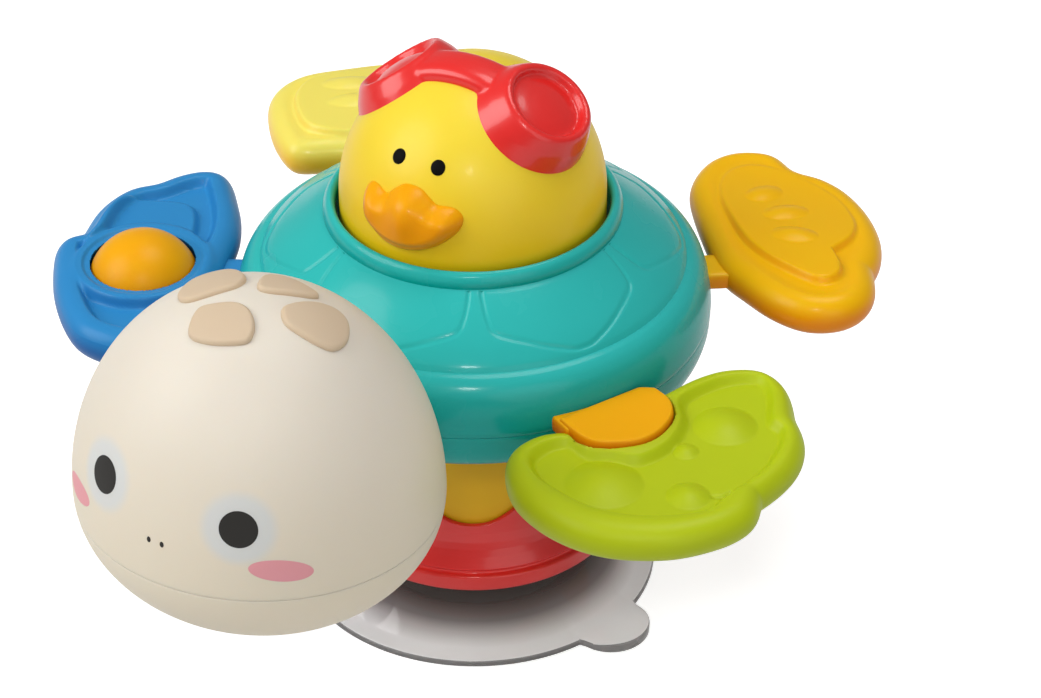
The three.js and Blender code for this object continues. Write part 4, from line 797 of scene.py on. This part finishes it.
def ball_flipper():
    """The blue flipper with a socket right through it, and the ball that rolls in the socket."""
    outline = creased(from_shell(BLUE_EDGE, -1), 320)
    plateau = creased(from_shell(BLUE_PLATEAU, -1), 200)

    def face(xy, d):
        h = 1.5 * smooth(depth_in(xy, plateau), -0.8, 0.9) - 2.1 * smooth(d, 4.6, 6.6)
        r = np.hypot(*(xy - BALL_PLACE).T)
        collar = smooth(r, 15.6, 14.0)
        return h * (1 - collar) + collar * 0.45 - 0.5 * smooth(r, 12.9, 12.2)

    def under(xy, d):
        r = np.hypot(*(xy - BALL_PLACE).T)
        return -1.3 * smooth(r, 15.2, 14.0) + 0.6 * smooth(d, 4, 7) * smooth(r, 14, 16)

    points, faces = relief(outline, BALL_PLACE, PLATE_EDGE, PLATE, ARM_HEIGHT, face, under, 74, 14)
    # The middle is opened up into the socket that holds the ball
    keep = np.hypot(*(points[:, :2] - BALL_PLACE).T) > SOCKET_CUT
    faces = [f for f in faces if all(keep[list(f)])]
    used = np.zeros(len(points), bool)
    used[[k for f in faces for k in f]] = True
    index = np.cumsum(used) - 1
    faces = [tuple(int(index[k]) for k in f) for f in faces]
    points = points[used]
    low, high = sorted(open_loops(faces), key=lambda loop: points[loop[0], 2])
    points, faces = socket_wall(points, faces, high, low)
    degrees = LIMB["front_right"]
    made("ball_flipper", turned(points, degrees), faces, BLUE, "turtle", "blue_plastic",
         ["ball_flipper_upper", "ball_flipper_lower"])
    arm_bar("ball_flipper_arm", degrees, 0, 56, BLUE, "blue_plastic")
    half_turn = arc(BALL_RADIUS, BALL_RADIUS, -math.pi / 2, math.pi / 2, 49)[1:-1]
    points, faces = lathe([(0, -BALL_RADIUS)] + half_turn + [(0, BALL_RADIUS)], 96)
    centre = turned(np.array([[*BALL_PLACE, BALL_HEIGHT]]), degrees)[0]
    made("ball", points + centre, faces, BALL, "ball", "orange_plastic", ["roller_ball"])


def open_loops(faces):
    """The open edge loops of a mesh, each as a list of point numbers in order."""
    sides = dict.fromkeys(pair for f in faces for pair in zip(f, f[1:] + f[:1]))
    onward = {a: b for a, b in sides if (b, a) not in sides}
    loops = []
    while onward:
        start = next(iter(onward))
        loop = [start]
        step = onward.pop(start)
        while step != start:
            loop.append(step)
            step = onward.pop(step)
        loops.append(loop)
    return loops


def socket_wall(points, faces, high, low):
    """Joins the two open edges round the ball with a wall that follows the ball."""
    high, low = [[loop[i] for i in np.argsort(np.arctan2(*(points[loop, :2] - BALL_PLACE).T[::-1]))]
                 for loop in (high, low)]
    levels = np.linspace(0, 1, 9)[1:-1]
    n = len(high)
    extra = []
    for t in levels:
        for k in range(n):
            p = points[high[k]] * (1 - t) + points[low[k]] * t
            out = p[:2] - BALL_PLACE
            r = math.sqrt(max(SOCKET_RADIUS ** 2 - (p[2] - BALL_HEIGHT) ** 2, 100))
            p[:2] = BALL_PLACE + out / np.linalg.norm(out) * r
            extra.append(p)
    first = len(points)
    rows = [high] + [[first + i * n + k for k in range(n)] for i in range(len(levels))] + [low]
    for a, b in zip(rows, rows[1:]):
        faces = faces + [(a[k], a[(k + 1) % n], b[(k + 1) % n], b[k]) for k in range(n)]
    return np.vstack([points, extra]), faces


PAD_EDGE = [(39.5, 9, 1), (38.6, 13.1), (37, 17.8), (35.1, 21.5), (32.4, 24.8), (30, 26.8), (26.6, 28.6),
            (22.6, 29.8, 2), (20.3, 31.5), (16.2, 33.7), (12.3, 34.9), (9.2, 34.9), (5.8, 33.9), (3.3, 30.7),
            (1.3, 26.4), (0.7, 21.3), (0.9, 16.9), (1.5, 13.3), (2.2, 6), (2.4, 0), (2.6, -6), (2.2, -11),
            (0.6, -12.8), (-0.6, -16.4), (-0.6, -20.3), (0.4, -23.9), (2.3, -26.3), (4.3, -27.8),
            (8.2, -29.9), (12.4, -31.2), (18.2, -31.3), (23.8, -30.3), (28.6, -28.5), (33.3, -25.6),
            (37, -22), (40, -17.9), (42.5, -13.4), (44, -8.2), (44.8, -2.7), (44.5, 1.6), (43.6, 4.7),
            (42.6, 6)]
PAD_FLOOR = [(6.3, -22.6), (11.8, -24.4), (18.7, -23.4), (25.6, -21), (31.7, -16), (36.2, -9), (38, -3.1),
             (36.2, 2.8), (33.7, 13), (29.3, 20.5), (25.6, 24.1), (21.3, 24.3), (13.6, 30), (8.7, 30.9),
             (6.3, 27.2), (5.3, 21.4), (6.6, 13.8), (12.7, 9.7), (17.2, 3.3), (18.1, -4.5), (14.2, -9.1),
             (10.2, -12.6), (5.4, -13.5), (4.3, -17.9)]
# Dimples of the pad: place, radius and height
BUBBLES = [((17, 16.5), 6.6, 1.9), ((19.5, -14.5), 7.9, 2.1), ((19.5, 5), 2.7, 0.9), ((31.5, -3), 4.4, 1.5)]
PAD_MARK = [(34.4, 1), (35.3, 2.6), (35.2, 4.4)]
PAD_DROP = 5.4
PAD_THICKNESS = 8.4
CLIP_CENTRE = np.array([57.0, -0.9])
CLIP_HALVES = (("clip_top", "clip_upper", 68.4, 72.4), ("clip_under", "clip_lower", 63.0, 66.5))
CLIP_EDGE = [(-0.1, -12.2, 1), (3.6, -12.2), (7, -11.9), (9.6, -11.2), (11.6, -9.4), (13.6, -6.2),
             (15, -2.5), (14.7, 1.6), (12.8, 5.8), (10.3, 8.7), (7.1, 10.3), (4, 10.4), (1.8, 10.1, 1),
             (-0.2, 7.4, 1)]


def clip_outline(grow=0.0):
    """The clip's edge, moved out by a distance."""
    away = creased(from_shell(CLIP_EDGE), 160, 8) - CLIP_CENTRE
    return CLIP_CENTRE + away * (1 + grow / np.linalg.norm(away, axis=1))[:, None]


def soft_pad():
    """The green teether with its sunken floor and dimples, and the orange clip that holds it."""
    outline = creased(from_shell(PAD_EDGE), 340)
    floor = even(spline(from_shell(PAD_FLOOR), 12, True), 260)
    seat = clip_outline(0.35)
    mark = np.array(from_shell(PAD_MARK))

    def face(xy, d):
        within = depth_in(xy, floor)
        # The rim rolls down a little towards the recess
        h = -2.0 * smooth(within, -1.3, 0.9) - 0.35 * smooth(within, -3.0, -0.8)
        for centre, radius, tall in BUBBLES:
            r = np.hypot(*(xy - np.array(from_shell([centre])[0])).T)
            h += tall * np.clip(1 - (r / radius) ** 2, 0, 1) ** 1.25
        h -= 0.5 * np.exp(-(distance(xy, mark, False) / 0.5) ** 2)
        return h - 3.0 * smooth(depth_in(xy, seat), 0.0, 0.25)

    def under(xy, d):
        return 4.0 * smooth(depth_in(xy, seat), 0.0, 0.25)

    degrees = LIMB["front_left"]
    centre = (SHELL_RADIUS + 21.0, 1.0)
    points, faces = relief(outline, centre, 4.2, PAD_THICKNESS, ARM_HEIGHT - PAD_DROP, face, under, 84, 14)
    points = turned(points, degrees)
    made("soft_pad_body", points, faces, GREEN, "turtle", "green_rubber", ["soft_paddle"], 70)
    for name, node, low, high in CLIP_HALVES:
        middle = (low + high) / 2
        points, faces = relief(clip_outline(), CLIP_CENTRE, 0.6, high - low, middle, flat, flat, 10, 8)
        made(name, turned(points, degrees), faces, CLIP, "turtle", "orange_plastic", [node])
    arm_bar("clip_arm", degrees, 2.7, 54, CLIP, "orange_plastic", (-12.6, 6.0))


# Duck

DOME_WALL = 2.2
DUCK_EYE_RADIUS = 1.5
DUCK_EYE_PROUD = 0.35


def duck_parts():
    """The hollow dome of the duck and its printed eyes."""
    up = arc(DUCK_RADIUS, DUCK_CROWN, 0, math.pi / 2, 72, DUCK_CENTRE)[:-1]
    inner, crown = DUCK_RADIUS - DOME_WALL, DUCK_CROWN - DOME_WALL
    hollow = arc(inner, crown, math.pi / 2, 0, 32, DUCK_CENTRE)[1:]
    low = CHASSIS_TOP + 0.3
    foot = [(inner, low), (DUCK_RADIUS - 0.4, low), (DUCK_RADIUS, CHASSIS_TOP + 0.7)]
    side = [(DUCK_RADIUS, z) for z in np.linspace(85, DUCK_CENTRE, 8)[:-1]]
    profile = [(0, DUCK_CENTRE + crown)] + hollow + foot + side + up + [(0, DUCK_CENTRE + DUCK_CROWN)]
    made("duck_body", *lathe(profile, 256), YELLOW, "duck", "yellow_plastic", ["duck_dome"], 50)
    for i, degrees in enumerate((-90 - 12.8, -90 + 10.8)):
        duck_eye(f"duck_eye_{i + 1}", math.radians(degrees))


def duck_eye(name, turn):
    """A low oval on the dome, in the given direction."""
    tall = 17.5
    r = DUCK_RADIUS * math.sqrt(1 - (tall / DUCK_CROWN) ** 2)
    p = np.array([r * math.cos(turn), r * math.sin(turn), tall])
    n, side, rise = tangents(p / np.array([DUCK_RADIUS, DUCK_RADIUS, DUCK_CROWN]) ** 2)
    p[2] += DUCK_CENTRE
    front = arc(DUCK_EYE_RADIUS, DUCK_EYE_PROUD, 0, math.pi / 2, 9)[:-1]
    profile = [(0, -0.4), (DUCK_EYE_RADIUS, -0.4)] + front + [(0, DUCK_EYE_PROUD)]
    points, faces = lathe(profile, 48)
    points = p + points[:, :1] * side + points[:, 1:2] * rise * 1.08 + points[:, 2:] * n
    made(name, points, faces, BLACK, "duck", "yellow_plastic")


# Outline of the bill, seen from the front
BILL = [(-11.1, 104.2), (-11.1, 105.6), (-10.6, 106.9), (-9.5, 107.6), (-7.9, 107.5), (-6.3, 106.9),
        (-5.3, 107), (-4, 108.3), (-2.1, 109.6), (0, 109.9), (2.1, 109.5), (4, 108.3), (5.6, 107.3),
        (7.5, 107.2), (9.3, 106.9), (10.7, 105.8), (11.1, 104.5), (10.8, 103), (9.6, 101.4), (7.3, 99.5),
        (4.4, 98.1), (1.5, 97.4), (-1.7, 97.3), (-4.8, 98), (-7.7, 99.5), (-9.9, 101.2), (-10.8, 102.7)]


def beak():
    """The bill, with a ridge down its middle, full corners and a fold between its lips."""
    middle = np.array([0.0, 102.6])
    outline = even(spline(BILL, 12, True), 180)

    def face(xy, d):
        x, z = xy[:, 0], xy[:, 1] - middle[1]
        ridge = 1.3 * np.exp(-((x - 0.2) / 3.0) ** 2 - ((z - 2.6) / 4.4) ** 2)
        cheeks = 0.7 * np.exp(-((np.abs(x) - 8.0) / 2.4) ** 2 - ((z - 2.0) / 3.4) ** 2)
        fold = -0.45 * np.exp(-((z + 3.7 - 0.022 * x ** 2) / 0.6) ** 2) * smooth(np.abs(x), 9.0, 6.0)
        return (ridge + cheeks + fold) * smooth(d, 0.2, 2.2)

    points, faces = relief(outline, middle, 3.0, 6.2, 0, face, flat, 34, 12)
    # Laid on the front of the dome: the plate's height becomes the distance in front of it
    s = np.clip((points[:, 1] - DUCK_CENTRE) / DUCK_CROWN, 0, 0.999)
    wall = np.sqrt(np.maximum(DUCK_RADIUS ** 2 * (1 - s ** 2) - points[:, 0] ** 2, 0))
    laid = np.column_stack([points[:, 0], -(wall + points[:, 2] + 0.1), points[:, 1]])
    made("bill", laid, faces, BEAK, "duck", "orange_plastic", ["duck_beak"])


# A pod of the goggles turned about its own axis: radius and distance from the middle of the dome
POD = [(0, 14), (13.05, 14), (13.15, 22.4), (12.7, 25), (11.4, 28.2), (9.9, 30.8), (9.2, 31.5),
       (8.5, 31.6), (7.9, 31.1), (7.6, 30.1), (7.4, 29.7), (6.7, 29.9), (4.6, 30.4), (2.2, 30.7), (0, 30.8)]
# Direction and rise in degrees, lean towards the turtle's left and share of the length
POD_PLACES = ((-90 + 84, 56, 1.2, 1.0), (-90 - 90, 54, 0.9, 0.97))
LEAN = [0.876, 0.483, 0]


def goggles():
    """The two pods and their bridge, fused into one piece with soft joins."""
    parts = []
    for degrees, rise, skew, tall in POD_PLACES:
        points, faces = lathe(POD, 128)
        points[:, 2] *= tall
        t = math.radians(90 - rise)
        x, y, z = points.T
        tipped = np.column_stack([x * math.cos(t) + z * math.sin(t), y, z * math.cos(t) - x * math.sin(t)])
        raised = turned(tipped, degrees) + np.array([0, 0, DUCK_CENTRE])
        parts.append((raised + np.outer((z - 23) / 9 * skew, LEAN), faces))
    parts.append(bridge())
    joined, shift = [], 0
    for points, faces in parts:
        joined += [tuple(k + shift for k in face) for face in faces]
        shift += len(points)
    points = np.vstack([points for points, faces in parts])
    piece = made("goggles", points, joined, RED, "duck", "red_plastic", ["duck_goggles"])
    remesh = piece.modifiers.new("fuse", "REMESH")
    remesh.mode = "VOXEL"
    remesh.voxel_size = 0.42 * MM
    remesh.use_smooth_shade = True
    relax = piece.modifiers.new("relax", "SMOOTH")
    relax.factor = 0.6
    relax.iterations = 5
    apply_all(piece)
    piece.data.materials.clear()
    piece.data.materials.append(RED)
    piece.data.polygons.foreach_set("use_smooth", [True] * len(piece.data.polygons))


BRIDGE_HALF = 20
BRIDGE_BACK = -2.4


def bridge():
    """A strap over the crown that widens into the pods."""
    steps, across = 60, 24
    rows = []
    for x in np.linspace(-BRIDGE_HALF, BRIDGE_HALF, steps):
        share = abs(x) / BRIDGE_HALF
        front = BRIDGE_BACK - 4.4 - 1.6 * share ** 2
        back = BRIDGE_BACK + 4.6 + 1.0 * share ** 2
        for t in np.linspace(0, 2 * math.pi, across, endpoint=False):
            cy, cz = math.cos(t), math.sin(t)
            y = (front + back) / 2 + (back - front) / 2 * np.sign(cy) * abs(cy) ** 0.6
            lift = 2.6 * np.sign(cz) * abs(cz) ** 0.6
            inner = max(1 - (x ** 2 + y ** 2) / DUCK_RADIUS ** 2, 0)
            rows.append((x, y, DUCK_CENTRE + DUCK_CROWN * math.sqrt(inner) + lift))
    faces = [(a + k, a + (k + 1) % across, a + across + (k + 1) % across, a + across + k)
             for a in range(0, (steps - 1) * across, across) for k in range(across)]
    faces += [tuple(range(across)), tuple(range(steps * across - 1, (steps - 1) * across - 1, -1))]
    return np.array(rows), faces


def apply_all(piece):
    """Turns a piece's modifiers into its mesh."""
    graph = bpy.context.evaluated_depsgraph_get()
    mesh = bpy.data.meshes.new_from_object(piece.evaluated_get(graph))
    piece.modifiers.clear()
    piece.data = mesh


suction_cup()
base_parts()
shell_parts()
head_parts()
head_spots()
face_prints()
rear_flipper("flipper_rear_left", "rear_flipper_left", LIMB["rear_left"], 1, REAR, PLATEAU, BUMPS, ORANGE,
             "orange_plastic")
rear_flipper("flipper_rear_right", "rear_flipper_right", LIMB["rear_right"], -1, REAR_RIGHT, PLATEAU_RIGHT,
             BUMPS_RIGHT, PALE, "pale_yellow_plastic")
ball_flipper()
soft_pad()
duck_parts()
beak()
goggles()


# Camera, floor and light

CAMERA_PLACE = np.array([278.74, -501.2, 456.6])
CAMERA_TARGET = np.array([8.67, 4.63, 55.1])
LAMP_TARGET = np.array([0, 0, 70])
FLOOR_LIFT = 0.74
FLOOR_MIRRORED = 0.35


def aimed(obj, target):
    """Turns a camera or lamp so that it looks at a place."""
    direction = target - np.array(obj.location) / MM
    obj.rotation_mode = "QUATERNION"
    obj.rotation_quaternion = Vector(direction).to_track_quat("-Z", "Y")


camera_data = bpy.data.cameras.new("camera")
camera_data.lens = 113.3
camera_data.sensor_width = 36
camera_data.clip_start = 0.01
camera_data.clip_end = 20
camera = placed("camera", camera_data)
camera.location = (CAMERA_PLACE + AXIS) * MM
aimed(camera, CAMERA_TARGET + AXIS)
bpy.context.scene.camera = camera


def backdrop_material():
    """A pale floor that is white where the camera or glass sees it, darkened only by the shadow on it, and
    shows more dimly in gloss."""
    m, tree, shader = blank("floor_white")
    path = tree.nodes.new("ShaderNodeLightPath").outputs
    seen = add(tree, "Math", 0, {0: path["Is Camera Ray"], 1: path["Is Transmission Ray"]},
               operation="MAXIMUM")
    mirrored = add(tree, "Math", 0, {0: path["Is Glossy Ray"], 1: FLOOR_MIRRORED}, operation="MULTIPLY")
    lift = add(tree, "Math", 0, {0: seen, 1: FLOOR_LIFT, 2: mirrored}, operation="MULTIPLY_ADD")
    feed(shader, {"Base Color": (0.68, 0.68, 0.68, 1), "Roughness": 0.9, "Specular IOR Level": 0.1,
                  "Emission Color": (1, 1, 1, 1), "Emission Strength": lift})
    return m


floor_mesh = bpy.data.meshes.new("floor")
corners = [(x, y, -0.00005) for x, y in ((-6, -6), (6, -6), (6, 6), (-6, 6))]
floor_mesh.from_pydata(corners, [], [(0, 1, 2, 3)])
floor_mesh.materials.append(backdrop_material())
floor = placed("floor", floor_mesh)


def lamp(name, place, size, watts):
    """A soft round lamp that looks at the toy."""
    data = bpy.data.lights.new(name, "AREA")
    data.shape = "DISK"
    data.size = size
    data.energy = watts
    obj = placed(name, data)
    obj.location = np.array(place) * MM
    aimed(obj, LAMP_TARGET)


lamp("key", (-940, -790, 1030), 1.15, 13.5)
lamp("front", (410, -830, 920), 0.14, 2.2)
lamp("fill", (1000, -700, 500), 0.9, 2)
lamp("top", (100, 300, 1300), 0.7, 5)

world = bpy.data.worlds.new("studio")
world.use_nodes = True
feed(world.node_tree.nodes["Background"], {"Color": (1, 1, 1, 1), "Strength": 0.26})
bpy.context.scene.world = world
bpy.context.scene.view_settings.view_transform = "Standard"
